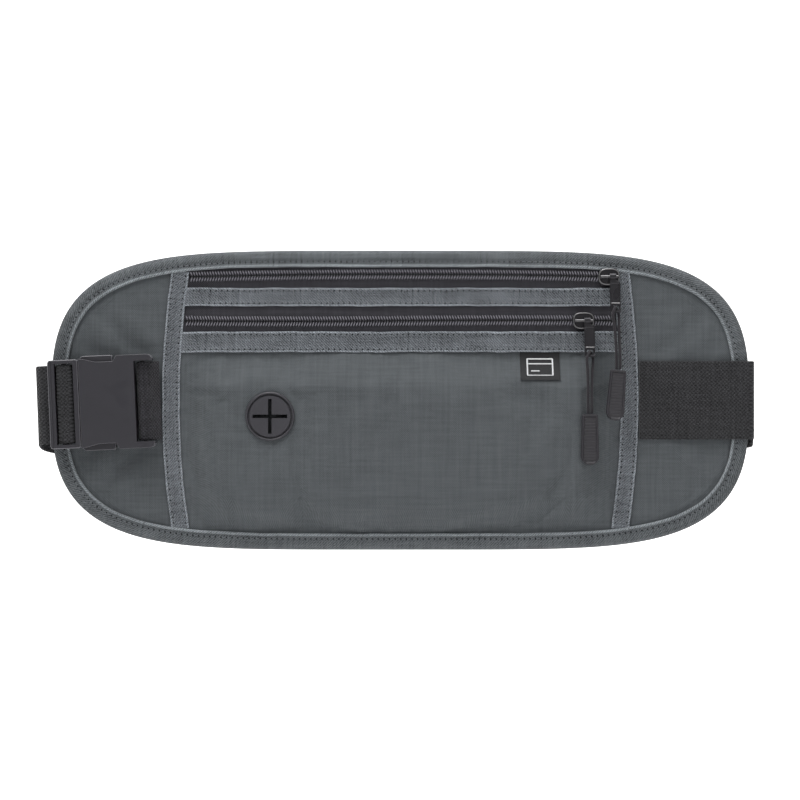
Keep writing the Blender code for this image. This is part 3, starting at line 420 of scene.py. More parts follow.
def solidMaterial(name, colour, scale, roughness, metallic=0.0, contrast=0.15, relief=0.02, wear=0.15, lip=0.0):
    material, tree, shader, effect = baseMaterial(name, grain, colour, contrast, 0.6, relief, lip,
                                                  {"Scale": scale}, {"Metallic": metallic})
    tree.links.new(calc(tree, "MULTIPLY_ADD", effect.outputs["Wear"], -wear, roughness), shader.inputs["Roughness"])
    return material


finishes = {
    "panel": clothMaterial("panelCloth", (84, 88, 91), 0.85, contrast=0.36, relief=0.14, streak=0.55),
    "back": clothMaterial("backCloth", (82, 86, 89), 1.4, contrast=0.45, relief=0.25),
    "inner": clothMaterial("innerCloth", (70, 72, 74), 0.9),
    "foil": clothMaterial("foilCloth", (150, 152, 155), 0.7, roughness=0.4),
    # binding and tape: lip is the strength of a painted highlight on their raised edges
    "binding": clothMaterial("bindingTwill", (92, 96, 99), 1.25, 1.0, True, contrast=0.9, relief=0.45, lip=1.3,
                             rough=0.9),
    "tape": clothMaterial("tapeTwill", (104, 108, 113), 1.25, 1.0, True, contrast=1.0, relief=0.55, lip=0.9,
                          rough=1.2),
    "zipTape": clothMaterial("zipTapeWeave", (59, 58, 63), 0.9, contrast=0.5, relief=0.2),
    "strap": clothMaterial("strapElastic", (46, 46, 48), 1.7, useUv=True, contrast=0.9, relief=0.6, rough=0.9),
    "webbing": clothMaterial("webbingWeave", (45, 44, 48), 1.55, useUv=True, contrast=0.9, relief=0.6, rough=0.9),
    "cord": clothMaterial("cordBraid", (42, 40, 44), 0.8, 1.0, True, contrast=0.6, relief=0.15),
    "thread": clothMaterial("seamThread", (112, 116, 120), 0.4, twill=1.0, contrast=0.3, relief=0.03),
    # painted shade for the needle holes
    "needleHoleShade": clothMaterial("needleHoleShade", (30, 31, 33), 0.4, contrast=0.3, relief=0.03, sheen=0.0),
    "label": clothMaterial("labelSatin", (26, 26, 28), 0.5, contrast=0.3, relief=0.04, roughness=0.6),
    "mark": clothMaterial("labelYarn", (222, 223, 225), 0.5, contrast=0.2, relief=0.04),
    # coil: lip paints a strong highlight on the tooth crowns
    "coil": solidMaterial("zipNylon", (54, 53, 57), 1200, 0.26, lip=5.0),
    "plastic": solidMaterial("buckleAcetal", (52, 51, 56), 2600, 0.4, relief=0.03),
    "rubber": solidMaterial("softRubber", (43, 41, 46), 2200, 0.55, relief=0.03),
    "grommet": solidMaterial("grommetRubber", (58, 57, 62), 2200, 0.45, relief=0.03),
    "metal": solidMaterial("darkPlating", (58, 57, 60), 900, 0.3, metallic=0.7, contrast=0.25, wear=0.15),
    # painted highlight: lighter plating for slider rims, bridges and tab bars
    "metalHighlight": solidMaterial("highlightPlating", (140, 139, 140), 900, 0.3, metallic=0.7, contrast=0.2, wear=0.15),
    # painted highlight for the buckle's bevels
    "plasticHighlight": solidMaterial("highlightAcetal", (112, 111, 116), 2600, 0.34, relief=0.02),
}


def dress(piece, finish, body="pouch", replaced=None):
    piece.data.materials.clear()
    piece.data.materials.append(finishes[finish])
    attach(piece, body)
    if replaced:
        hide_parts(replaced)


print("stage: materials made")


# camera, floor and light

studio = {
    "eye": (-0.0001, -0.995, 0.0001), "lens": 100, "sensor": 36,
    "floorHeight": -0.30, "floorNear": -2.5, "floorDepth": 1.6, "floorRise": 2.2, "sweep": 0.5, "floorWide": 4,
    "floorGlow": (0.88, 0.12), "worldGlow": (0.85, 0.15),   # added for the camera only, then for every ray
    "lights": {   # place, size in metres, watts
        "keyLight": ((-0.3, -0.6, 1.1), 0.75, 12.5), "fillLight": ((0.8, -1.2, 0.3), 0.9, 3.0),
        "lowLight": ((0.1, -0.9, -0.7), 0.8, 0.8), "topLight": ((0, 0.05, 0.9), 0.7, 7),
        "rearLight": ((0.2, 0.9, 0.9), 0.9, 8),
    },
}


def cameraGlow(tree, glow):
    seen = newNode(tree, "ShaderNodeLightPath").outputs["Is Camera Ray"]
    return calc(tree, "MULTIPLY_ADD", seen, *glow)


def makeFloor():
    low, depth, sweep = studio["floorHeight"], studio["floorDepth"], studio["sweep"]
    profile = [(studio["floorNear"], low), (depth - sweep, low)]
    profile += [(depth - sweep + sweep * math.sin(a), low + sweep - sweep * math.cos(a))
                for a in (math.pi / 2 * step / 12 for step in range(1, 13))]
    profile.append((depth, studio["floorRise"]))
    mesh = bpy.data.meshes.new("paleFloor")
    points = [(x, y, z) for x in (-studio["floorWide"], studio["floorWide"]) for y, z in profile]
    n = len(profile)
    mesh.from_pydata(points, [], [(i, i + 1, n + i + 1, n + i) for i in range(n - 1)])
    floor = addObject("paleFloor", mesh)
    material = bpy.data.materials.new("paleFloor")
    material.use_nodes = True
    shader = material.node_tree.nodes["Principled BSDF"]
    shader.inputs["Base Color"].default_value = (0.9, 0.9, 0.9, 1)
    shader.inputs["Roughness"].default_value = 1
    shader.inputs["Emission Color"].default_value = (1, 1, 1, 1)
    material.node_tree.links.new(cameraGlow(material.node_tree, studio["floorGlow"]),
                                 shader.inputs["Emission Strength"])
    mesh.materials.append(material)


def makeStage():
    scene = bpy.context.scene
    camera = bpy.data.cameras.new("camera")
    camera.lens = studio["lens"]
    camera.sensor_width = studio["sensor"]
    camera.clip_start = 0.01
    eye = addObject("camera", camera)
    eye.location = studio["eye"]
    eye.rotation_euler = (math.pi / 2, 0, 0)
    scene.camera = eye
    makeFloor()
    for name, (place, size, power) in studio["lights"].items():
        light = bpy.data.lights.new(name, "AREA")
        light.size = size
        light.energy = power
        lamp = addObject(name, light)
        lamp.location = place
        lamp.rotation_euler = (-Vector(place)).to_track_quat("-Z", "Y").to_euler()
    world = bpy.data.worlds.new("softRoom")
    world.use_nodes = True
    background = world.node_tree.nodes["Background"]
    background.inputs[0].default_value = (1, 1, 1, 1)
    world.node_tree.links.new(cameraGlow(world.node_tree, studio["worldGlow"]), background.inputs[1])
    scene.world = world
    scene.view_settings.view_transform = "Standard"


makeStage()

# pull cords, along the same points as the frame's

cords = {
    "diameter": 1.3, "spread": 1.6, "drop": 27.5, "gripY": -17.0, "pointGap": 0.8,
    "upper": {"slider": (92.7, 54.8), "offset": 0.9, "lean": 4.5},
    "lower": {"slider": (81.4, 35.3), "offset": -0.3, "lean": 0.0},
    "barY": -10.5, "holeDistance": 14.3, "tilt": 12.0, "tabMiddle": 2.4, "sunk": 0.3, "straight": 4,
    # bends between the two legs: share of the grip's offset, then x, y and z from the hole
    "bends": [(0.8, -0.85, -3.2, -16), (0.4, -1.1, -2.5, -8), (0, -1.5, -2.0, -3.2), (0, -0.7, -1.6, -0.8),
              (0, -0.2, -0.55, 0.15), (0, 0.2, 0.55, 0.1), (0, 0.8, 1.3, -1.0), (0, 1.5, 1.1, -3.2),
              (0.4, 1.1, -0.7, -9), (0.8, 0.85, -2.5, -17)],
}


def holeOf(side):
    x, z = cords[side]["slider"]
    tilt = math.radians(cords["tilt"])
    return Vector((x + cords["tabMiddle"], cords["barY"] - cords["holeDistance"] * math.sin(tilt),
                   z - cords["holeDistance"] * math.cos(tilt)))


def cordRoute(side):
    # up from the grip, through the hole in the tab and back down, in mm from the hole
    hole, offset = holeOf(side), cords[side]["offset"]
    gripY, foot, leg = cords["gripY"] - hole.y, cords["sunk"] - cords["drop"], cords["spread"] / 2
    rise = foot + cords["straight"]
    bends = [(share * offset + x, y, z) for share, x, y, z in cords["bends"]]
    points = [(offset - leg, gripY, foot), (offset - leg, gripY, rise), *bends,
              (offset + leg, gripY, rise), (offset + leg, gripY, foot)]
    return [(hole + Vector(point)) * mm for point in points]


def smoothRoute(points, spacing):
    ends = [2 * points[0] - points[1], *points, 2 * points[-1] - points[-2]]
    fine = []
    for p0, p1, p2, p3 in zip(ends, ends[1:], ends[2:], ends[3:]):
        for step in range(24):
            t = step / 24
            fine.append(0.5 * (2 * p1 + (p2 - p0) * t + (2 * p0 - 5 * p1 + 4 * p2 - p3) * t ** 2
                               + (3 * p1 - p0 - 3 * p2 + p3) * t ** 3))
    fine.append(points[-1])
    total = sum((b - a).length for a, b in zip(fine, fine[1:]))
    count = round(total / spacing)
    route, walked, target = [fine[0]], 0.0, total / count
    for a, b in zip(fine, fine[1:]):
        while walked + (b - a).length >= target and len(route) < count:
            route.append(a.lerp(b, (target - walked) / (b - a).length))
            target += total / count
        walked += (b - a).length
    return route + [fine[-1]], total


def tubeRings(route, radius, sides=12):
    # circles carried along a route without twisting
    rings, side = [], Vector((1, 0, 0))
    for index, point in enumerate(route):
        along = (route[min(index + 1, len(route) - 1)] - route[max(index - 1, 0)]).normalized()
        side = (side - along * side.dot(along)).normalized()
        up = along.cross(side)
        rings.append([point + (side * c + up * s) * radius for c, s in circle(sides)])
    return rings


def makeCords():
    for side in ("upper", "lower"):
        route, length = smoothRoute(cordRoute(side), cords["pointGap"] * mm)
        cord = loft(side + "Cord", tubeRings(route, cords["diameter"] / 2 * mm), smoothAngle=80)
        dress(cord, "cord", side + "_grip", replaced=side + "_pull_cord")


makeCords()
print("stage: cords made")

# cloth panels

panels = {
    "thick": 0.55, "inset": 3.0, "low": -62.0, "frontTop": 26.5, "grommet": (-57.5, -7.1), "grommetHole": 8.9,
    "grommetSeat": 12.0, "labelX": 62.0, "labelHalf": 11.0, "labelLow": 7.0, "strapHalf": 20.0,
    "frontBillow": (1.2, 0.012, 2.2), "wingBillow": (1.0, 0.01, 0.9),   # pressure, slack, furthest move
    "frontHeld": 0.5, "wingHeld": 0.6, "frontMargin": 1.5, "wingMargin": 1.0, "dividerMargin": 2.5,
    "wingHalf": 60.8, "boundEdge": 8.0, "backY": -3.2, "backThick": 0.5,
    "dividerTop": 47.5, "dividerY": -4.75, "dividerRise": 0.7, "dividerBend": (19.0, 9.0), "dividerThick": 0.3,
    "liningSize": (190, 72), "liningLow": -54, "liningY": -3.95, "liningThick": 0.25,
}


def makeSheet(name, cells, place, thick, finish, replaced, flip=False,
              # a grid sheet through place, flipped and swelled when asked, then thickened and dressed
              swell=None):
    # the flat size is read before the cloth swells, and declared once the piece is finished
    piece = panelGrid(name, *cells, place)
    if flip:
        piece.data.flip_normals()
    if swell:
        swell(piece)
    thicken(piece, thick)
    dress(piece, finish, replaced=replaced)


def openHole(piece, centre, radius):
    # a clean round hole: the nearest cells are removed and the rim is drawn onto the circle
    form = bmesh.new()
    form.from_mesh(piece.data)
    cx, cz = (c * mm for c in centre)
    inside = [face for face in form.faces
              if all(math.hypot(vert.co.x - cx, vert.co.z - cz) < radius * mm for vert in face.verts)]
    bmesh.ops.delete(form, geom=inside, context="FACES")
    for vert in form.verts:
        away = Vector((vert.co.x - cx, vert.co.z - cz))
        if vert.is_boundary and away.length < radius * 1.3 * mm:
            away *= radius * mm / away.length
            vert.co.x, vert.co.z = cx + away.x, cz + away.y
    form.to_mesh(piece.data)
    form.free()


def panelPlace(top, margin, depthAt):
    # a sheet between the side seams, from the bottom binding up to a straight top edge
    def place(u, w):
        low = panels["low"]
        z = low + w * (top - low)
        x = (seamAt(z) - margin) * (2 * u - 1)
        low = edgeHeight(x, panels["inset"], -1)
        z = low + w * (top - low)
        return v(x, depthAt(x, z), z)

    return place


def wingReach(z, inset):
    share = min(abs(z) / (pouch["height"] / 2 - inset), 1)
    return (pouch["length"] / 2 - inset) * (1 - share ** pouch["sidePower"]) ** (1 / pouch["endPower"])


def makeFrontPanel():
    def pinned(co):
        x, z = co.x / mm, co.z / mm
        edge = min(seamAt(z) - pouch["tapeWidth"] / 2 - abs(x), z - edgeHeight(x, pouch["bindingWidth"], -1),
                   pouch["lowerTape"][0] - z)
        seat = math.hypot(x - panels["grommet"][0], z - panels["grommet"][1]) < panels["grommetSeat"]
        label = abs(x - panels["labelX"]) < panels["labelHalf"] and z > panels["labelLow"]
        return 1.0 if edge < panels["frontHeld"] or seat or label else 0.0

    def swell(panel):
        billow(panel, pinned, *panels["frontBillow"])
        openHole(panel, panels["grommet"], panels["grommetHole"])

    place = panelPlace(panels["frontTop"], panels["frontMargin"], frontY)
    makeSheet("frontPanel", (132, 60), place, panels["thick"], "panel", "front_pocket_panel",
              swell=swell)


def makeWings():
    def pinned(co):
        x, z = abs(co.x) / mm, co.z / mm
        edge = min(x - seamAt(z) - pouch["tapeWidth"] / 2, wingReach(z, panels["boundEdge"]) - x)
        return 1.0 if edge < panels["wingHeld"] or abs(z) < panels["strapHalf"] else 0.0

    for name, side in (("right", 1), ("left", -1)):
        def place(u, w):
            z = panels["wingHalf"] * math.sin(math.pi / 2 * (2 * w - 1))
            near = seamAt(z) + panels["wingMargin"]
            return v(side * (near + max(wingReach(z, panels["inset"]) - near, 0.5) * u), pouch["layerY"], z)

        makeSheet(name + "Wing", (40, 84), place, panels["thick"], "panel", name + "_wing_panel",
                  flip=side < 0, swell=lambda wing: billow(wing, pinned, *panels["wingBillow"]))


def makeBackPanel():
    def place(u, w):
        x = (pouch["length"] / 2 - panels["inset"]) * 0.9995 * math.sin(math.pi / 2 * (2 * u - 1))
        return v(x, panels["backY"], edgeHeight(x, panels["inset"], 1) * (2 * w - 1))

    makeSheet("backPanel", (150, 64), place, panels["backThick"], "back", "back_panel", flip=True)


def makeInnerSheets():
    def dividerY(x, z):
        start, length = panels["dividerBend"]
        base = panels["dividerY"] + panels["dividerRise"] * smooth((z - start) / length)
        return base - pouch["rise"] / 2 * plateau(x, z)

    place = panelPlace(panels["dividerTop"], panels["dividerMargin"], dividerY)
    makeSheet("pocketDivider", (90, 50), place, panels["dividerThick"], "inner", "pocket_divider")
    wide, tall = panels["liningSize"]
    makeSheet("blockingLining", (60, 30),
              lambda u, w: v(wide * u - wide / 2, panels["liningY"], tall * w + panels["liningLow"]),
              panels["liningThick"], "foil", "blocking_lining")


# binding, tapes and zips

binding = {
    "section": [(7.5, 1.7), (7.45, 2.6), (7.05, 3.0), (6.55, 2.95), (6.05, 2.4), (5.2, 2.1), (4.7, 2.1), (4.1, 2.35),
                (3.1, 2.4), (1.8, 2.0), (0.7, 1.2), (0.05, 0.4), (0.05, -0.7), (0.5, -1.7), (1.6, -2.3),
                (4.0, -2.45), (6.9, -2.4), (7.5, -2.1), (7.4, -1.7), (1.5, -1.6), (1.1, 0), (1.5, 1.6)],
    "middleY": -4.5, "places": 980, "swell": 0.1, "wander": 0.16, "pucker": 0.05, "puckers": 334,
    "foldHeight": 1.9, "puckerInset": 3.5, "edgeInset": 6.0, "lipInset": 6.4, "lipHeight": 2.5,
}
tapes = {"thick": 0.6, "lip": 0.28, "swell": 0.09, "wander": 0.18, "baseY": -6.3, "seamEnd": 57.4, "endGap": 3.2}


def unevenness(index, count, seed, size):
    # slow wander along a sewn edge, meeting itself after count places
    turn = 2 * math.pi * index / count
    source = random.Random(seed)
    total = 0.0
    for waves in (3, 5, 8, 13, 21, 34, 55):
        total += math.sin(waves * turn + source.uniform(0, 6.28)) * source.uniform(0.4, 1.0)
    return total * size / 3


def makeBinding():
    loop, _ = outlineLoop(0, binding["places"])
    rings = []
    for index, (point, inward) in enumerate(loop):
        swell = unevenness(index, len(loop), 7, binding["swell"])
        pucker = binding["pucker"] * math.sin(2 * math.pi * index * binding["puckers"] / len(loop))
        wander = unevenness(index, len(loop), 9, binding["wander"])
        ring = []
        for inset, height in binding["section"]:
            if height > binding["foldHeight"]:
                height += swell + (pucker if inset > binding["puckerInset"] else 0)
            if inset > binding["edgeInset"]:
                inset += wander
            ring.append(v(point.x + inward.x * inset, binding["middleY"] - height, point.y + inward.y * inset))
        rings.append(ring)
    # the raised inner edge takes a painted highlight through the lip attribute
    edge = loft("edgeBinding", rings, closed=True, smoothAngle=60,
                lip=[1.0 if inset > binding["lipInset"] and height > binding["lipHeight"] else 0.0
                     for inset, height in binding["section"]])
    dress(edge, "binding", replaced="edge_binding")


def tapeLine(name, points, width, seed, replaced):
    # points in mm at the tape's middle
    rings = []
    section = tapeSection(width, tapes["thick"], tapes["lip"])
    for index, point in enumerate(points):
        ahead = points[min(index + 1, len(points) - 1)] - points[max(index - 1, 0)]
        side = Vector((-ahead.z, 0, ahead.x)).normalized()
        swell = unevenness(index, len(points) * 3, seed, tapes["swell"])
        wander = unevenness(index, len(points) * 3, seed + 1, tapes["wander"])
        rings.append([(point + side * (s[0] + wander) + Vector((0, -s[1] - (swell if s[1] > 0.4 else 0), 0))) * mm
                      for s in section])
    tape = loft(name, rings, smoothAngle=60, lip=tapeLipHighlight)
    dress(tape, "tape", replaced=replaced)


def seamLine(side, shift, low, high, count):
    heights = [low + (high - low) * step / count for step in range(count + 1)]
    return [Vector((side * (seamAt(z) + shift), tapes["baseY"], z)) for z in heights]


def makeTapes():
    for name, side, seed in (("right", 1, 21), ("left", -1, 22)):
        tapeLine(name + "SideTape", seamLine(side, 0, -tapes["seamEnd"], tapes["seamEnd"], 150),
                 pouch["tapeWidth"], seed, name + "_side_tape")
    for name, band, seed in (("middle", pouch["middleTape"], 31), ("lower", pouch["lowerTape"], 32)):
        z = sum(band) / 2
        reach = seamAt(z) - tapes["endGap"]
        points = [Vector((-reach + 2 * reach * step / 260, tapes["baseY"] - 0.02, z)) for step in range(261)]
        tapeLine(name + "Tape", points, band[1] - band[0], seed, name + "_tape")


zips = {
    "tapeY": -5.35, "tapeThick": 0.5, "toothPitch": 1.22, "toothRadius": 0.34, "toothLean": -0.36, "coilY": -6.55,
    "teeth": [(0.05, 0.0, 0.75), (0.5, 0.1, 1.05), (1.35, 0.4, 1.0), (2.1, 0.15, 1.0), (2.5, -0.2, 0.7)],
    "tapeEdges": [(55.1, 63.0), (46.0, 54.5), (35.6, 45.8), (26.0, 35.0)], "reach": 98, "endGap": 5,
    "bow": 1.2, "bowReach": 97, "lowerWave": (0.25, 31),
}


def zipHeight(zipZ, x):
    # the upper zip bows a little between its ends, the lower one waves
    if zipZ == pouch["upperZip"]:
        return zipZ + zips["bow"] * (1 - (x / zips["bowReach"]) ** 2)
    size, length = zips["lowerWave"]
    return zipZ + size * math.sin(x / length)


def makeZipTapes():
    kinds = [(zipName, label) for zipName in ("upper", "lower") for label in ("Top", "Bottom")]
    for (zipName, label), (low, high) in zip(kinds, zips["tapeEdges"]):
        zipZ = pouch[zipName + "Zip"]
        rings = []
        for step in range(121):
            x = zips["reach"] * (step / 60 - 1)
            lift = zipHeight(zipZ, x) - zipZ
            bottom, top = (z + (lift if abs(z - zipZ) < 2 else 0) for z in (low, high))   # only the edge at the coil
            reach = min(1.0, (seamAt(high) - 1.0) / zips["reach"])
            middle = (bottom + top) / 2
            section = [(bottom, 0), (bottom, 1), (middle, 1), (top, 1), (top, 0), (middle, 0)]
            rings.append([v(x * reach, zips["tapeY"] - t * zips["tapeThick"], z) for z, t in section])
        tape = loft(f"{zipName}ZipTape{label}", rings)
        dress(tape, "zipTape", replaced=f"{zipName}_zip_tape_{label.lower()}")


def arrayTree(name, unit, finish):
    # unit placed at every point of the mesh, turned by its stored direction
    tree, start, end = groupTree(name, "GeometryNodeTree",
                                 [("Geometry", "Geometry", None), ("Size", "Float", 1.0),
                                  ("Size spread", "Float", 0.06), ("Seed", "Int", 4)], [("Geometry", "Geometry")])
    direction, outward = (newNode(tree, "GeometryNodeInputNamedAttribute", {"Name": stored},
                                  data_type="FLOAT_VECTOR").outputs[0] for stored in ("direction", "outward"))
    turn = newNode(tree, "FunctionNodeAxesToRotation", {0: direction, 1: outward},
                   primary_axis="X", secondary_axis="Z")
    least, most = (calc(tree, operation, start["Size"], start["Size spread"]) for operation in ("SUBTRACT", "ADD"))
    chance = newNode(tree, "FunctionNodeRandomValue", {2: least, 3: most, "Seed": start["Seed"]})
    source = newNode(tree, "GeometryNodeObjectInfo", {"Object": unit})
    copies = newNode(tree, "GeometryNodeInstanceOnPoints",
                     {"Points": start["Geometry"], "Instance": source.outputs["Geometry"],
                      "Rotation": turn.outputs[0], "Scale": chance.outputs[1]})
    real = newNode(tree, "GeometryNodeRealizeInstances", {0: copies.outputs[0]})
    paint = newNode(tree, "GeometryNodeSetMaterial", {0: real.outputs[0], "Material": finishes[finish]})
    tree.links.new(paint.outputs[0], end[0])
    return tree


def unitMesh(name, rings, lip=None):
    form = bmesh.new()
    rows = [[form.verts.new(point) for point in ring] for ring in rings]
    for a, b in zip(rows, rows[1:]):
        for i in range(len(a)):
            form.faces.new((a[i], a[(i + 1) % len(a)], b[(i + 1) % len(a)], b[i]))
    form.faces.new(rows[0])
    form.faces.new(list(reversed(rows[-1])))
    bmesh.ops.recalc_face_normals(form, faces=form.faces)
    mesh = toMesh(form, name)
    if lip:
        storeHighlightWeights(mesh, [lip[index // len(rings[0])] for index in range(len(mesh.vertices))])
    mesh.shade_smooth()
    return bpy.data.objects.new(name, mesh)


def ellipsoid(name, length, width, height, sides=6):
    rings = []
    for along, size in ((-0.5, 0.35), (-0.38, 0.8), (0, 1.0), (0.38, 0.8), (0.5, 0.35)):
        rings.append([v(along * length, c * size * width / 2, s * size * height / 2) for c, s in circle(sides)])
    return unitMesh(name, rings)


def scatter(name, places, unit, finish, seed=4, spread=0.05):
    # places are (point, direction, outward) in mm
    mesh = bpy.data.meshes.new(name)
    mesh.from_pydata([tuple(p * mm) for p, _, _ in places], [], [])
    for attribute, column in (("direction", 1), ("outward", 2)):
        layer = mesh.attributes.new(attribute, "FLOAT_VECTOR", "POINT")
        layer.data.foreach_set("vector", [c for row in places for c in row[column]])
    piece = addObject(name, mesh)
    modifier = piece.modifiers.new("copies", "NODES")
    modifier.node_group = arrayTree(name, unit, finish)
    chosen = {"Size": 1.0, "Size spread": spread, "Seed": seed}
    for socket in modifier.node_group.interface.items_tree:
        if socket.name in chosen:
            modifier[socket.identifier] = chosen[socket.name]
    return realise(piece)


def alongLine(points, pitch, outward=Vector((0, -1, 0))):
    # evenly spaced places with the line's own direction
    places, walked, target = [], 0.0, pitch / 2
    for a, b in zip(points, points[1:]):
        step = (b - a).length
        while walked + step >= target and step > 0:
            places.append((a.lerp(b, (target - walked) / step), (b - a).normalized(), outward))
            target += pitch
        walked += step
    return places


def makeZipCoils():
    r = zips["toothRadius"]
    for side, label in ((1, "Top"), (-1, "Bottom")):
        rings = []
        for reach, rise, size in zips["teeth"]:
            lean = zips["toothLean"] * reach
            rings.append([v(lean + c * r * size, side * reach, rise + s * r * size * 1.1) for c, s in circle(6)])
        # tooth crowns weighted for a painted highlight
        tooth = unitMesh("coilTooth" + label, rings, lip=[0, 0.15, 1, 0.4, 0])
        for zipName in ("upper", "lower"):
            zipZ = pouch[zipName + "Zip"]
            reach = int(seamAt(zipZ) - zips["endGap"])
            line = [Vector((x, zips["coilY"], zipHeight(zipZ, x))) for x in range(-reach, reach + 1)]
            coil = scatter(zipName + "Coil" + label, alongLine(line, zips["toothPitch"]), tooth, "coil", spread=0.03)
            dress(coil, "coil", replaced=f"{zipName}_zip_coil_{label.lower()}")


stitches = {
    "thread": (1.9, 0.42, 0.3), "hole": (0.75, 0.62, 0.3), "pitch": 2.5, "sunk": 0.02,
    "bindingInset": 4.95, "bindingFront": 2.16, "bindingBack": 2.47, "tapeInset": 1.35, "seamEnd": 57, "endGap": 4.6,
}


def makeStitches():
    pitch, inset = stitches["pitch"], stitches["tapeInset"]
    thread = ellipsoid("threadStitch", *stitches["thread"])
    loop, _ = outlineLoop(stitches["bindingInset"], 900)
    places = []
    for shift, outward in ((-stitches["bindingFront"], -1), (stitches["bindingBack"], 1)):
        line = [Vector((p.x, binding["middleY"] + shift, p.y)) for p, _ in loop]
        places += alongLine(line + line[:1], pitch, Vector((0, outward, 0)))
    top = tapes["baseY"] - tapes["thick"] - stitches["sunk"]
    for side in (1, -1):
        for shift in (-pouch["tapeWidth"] / 2 + inset, pouch["tapeWidth"] / 2 - inset):
            line = seamLine(side, shift, -stitches["seamEnd"], stitches["seamEnd"], 120)
            places += alongLine([Vector((p.x, top, p.z)) for p in line], pitch)
    for band in (pouch["middleTape"], pouch["lowerTape"]):
        for z in (band[0] + inset, band[1] - inset):
            reach = seamAt(z) - stitches["endGap"]
            places += alongLine([Vector((-reach, top, z)), Vector((reach, top, z))], pitch)
    dress(scatter("seamStitches", places, thread, "thread"), "thread")
    # dark dots at the needle holes, painted shade in the holes
    hole = ellipsoid("needleHoleUnit", *stitches["hole"])
    pricks = [(p + d * (pitch / 2) - o * stitches["sunk"], d, o) for p, d, o in places]
    dress(scatter("needleHoles", pricks, hole, "needleHoleShade", seed=5), "needleHoleShade")


makeFrontPanel()
makeWings()
makeBackPanel()
makeInnerSheets()
print("stage: cloth panels made")
makeBinding()
makeTapes()
makeZipTapes()
makeZipCoils()
makeStitches()
print("stage: binding, tapes and zips made")


# grommet and label

grommet = {
    "centre": panels["grommet"], "frontY": -14.0,
    "profile": [(8.7, -0.5), (9.1, -0.45), (9.2, -0.05), (9.8, -0.05), (9.9, -0.8), (10.05, -1.15), (10.3, -1.25),
                (10.55, -1.15), (10.8, -0.8), (10.9, -0.3), (10.9, 0.1), (8.6, 0.1), (8.6, 1.9), (8.2, 1.9),
                (8.2, -0.5)],
}
label = {
    "x": panels["labelX"], "width": 17.6, "top": 23.0, "drop": 14.0, "thick": 0.55, "standOff": 0.75, "curl": 0.25,
    "markHalf": 5.6, "markLow": 10.9, "markHigh": 18.3, "markBand": 2.2, "markLine": (1.7, 5.4, 2.0),
    "columns": 12, "rows": 24, "curlRows": 6, "markPitch": 0.4, "markStitch": (0.7, 0.75, 0.2), "markProud": 0.02,
}


def makeGrommet():
    cx, cz = grommet["centre"]
    rings = []
    for c, s in circle(72):
        rings.append([v(cx + r * c, grommet["frontY"] + y, cz + r * s) for r, y in grommet["profile"]])
    ring = loft("grommetRing", rings, closed=True, smoothAngle=50)
    dress(ring, "grommet", replaced="grommet_ring")


def labelPoint(x, z, height):
    y = frontY(label["x"], z) - label["standOff"] - height
    return Vector((x, y, z))


def makeLabel():
    x, half = label["x"], label["thick"] / 2
    count, rows, curlRows = label["columns"], label["rows"], label["curlRows"]
    columns = [x + label["width"] * (i / count - 0.5) for i in range(count + 1)]
    rings = []
    for step in range(rows + 1):
        z = label["top"] - label["drop"] * step / rows
        curl = label["curl"] * smooth((step - rows + curlRows) / curlRows)   # the free edge lifts a little
        front = [labelPoint(column, z, half + curl) * mm for column in columns]
        rear = [labelPoint(column, z, curl - half) * mm for column in reversed(columns)]
        rings.append(front + rear)
    dress(loft("wovenLabel", rings), "label", replaced="woven_label")
    # a plain card outline, stitched in small stitches
    left, right, low, high = x - label["markHalf"], x + label["markHalf"], label["markLow"], label["markHigh"]
    start, end, rise = label["markLine"]
    band = high - label["markBand"]
    lines = [[(left, low), (right, low), (right, high), (left, high), (left, low)], [(left, band), (right, band)],
             [(left + start, low + rise), (left + end, low + rise)]]
    mark = []
    for line in lines:
        points = [labelPoint(across, z, half + label["markProud"]) for across, z in line]
        mark += alongLine(points, label["markPitch"])
    stitch = ellipsoid("markStitch", *label["markStitch"])
    dress(scatter("labelMark", mark, stitch, "mark", spread=0.04), "mark")


# strap and buckle webbing

strap = {
    "width": 35.0, "thick": 1.4, "buckleX": -125.0, "buckleZ": -0.8, "turn": 2.5,
    "droop": 11.0, "droopReach": 1.09, "droopPower": 5, "buckleReach": 36.6,
    "backY": -0.7, "leftFold": 6.9, "rightFold": (-4.0, -6.5, 4.5),   # where the droop starts, and over what depth
    "route": [(106.3, -6.9), (118.4, -6.9, 8), (136.4, -8.1, 8), (156.8, -8.1, 2.2), (156.8, -0.7, 2.2),
              (-160.9, -0.7, 4.64), (-160.9, -10.0, 4.64), (-150.7, -10.0, 0.9), (-150.7, -14.2, 0.9),
              (-145.1, -14.2, 0.9), (-145.1, -8.3, 0.9), (-154.5, -8.3)],
}


def toBuckle(u, y, w):
    # buckle coordinates to the shared frame, in mm
    turn = math.radians(strap["turn"])
    return Vector((strap["buckleX"] + u * math.cos(turn) - w * math.sin(turn), y,
                   strap["buckleZ"] + u * math.sin(turn) + w * math.cos(turn)))


def ribbonSection(width, thick, columns=20):
    half, t = width / 2, thick / 2
    front = [(-half + 0.5, t), *[(-half + 1 + (width - 2) * i / columns, t) for i in range(columns + 1)],
             (half - 0.5, t), (half - 0.1, t * 0.5), (half - 0.1, -t * 0.5)]
    rear = [(half - 0.5, -t), *[(half - 1 - (width - 2) * i / columns, -t) for i in range(columns + 1)],
            (-half + 0.5, -t), (-half + 0.1, -t * 0.5), (-half + 0.1, t * 0.5)]
    return front + rear


def outwardOf(points, index):
    ahead = points[min(index + 1, len(points) - 1)] - points[max(index - 1, 0)]
    return Vector((-ahead.y, ahead.x)).normalized()


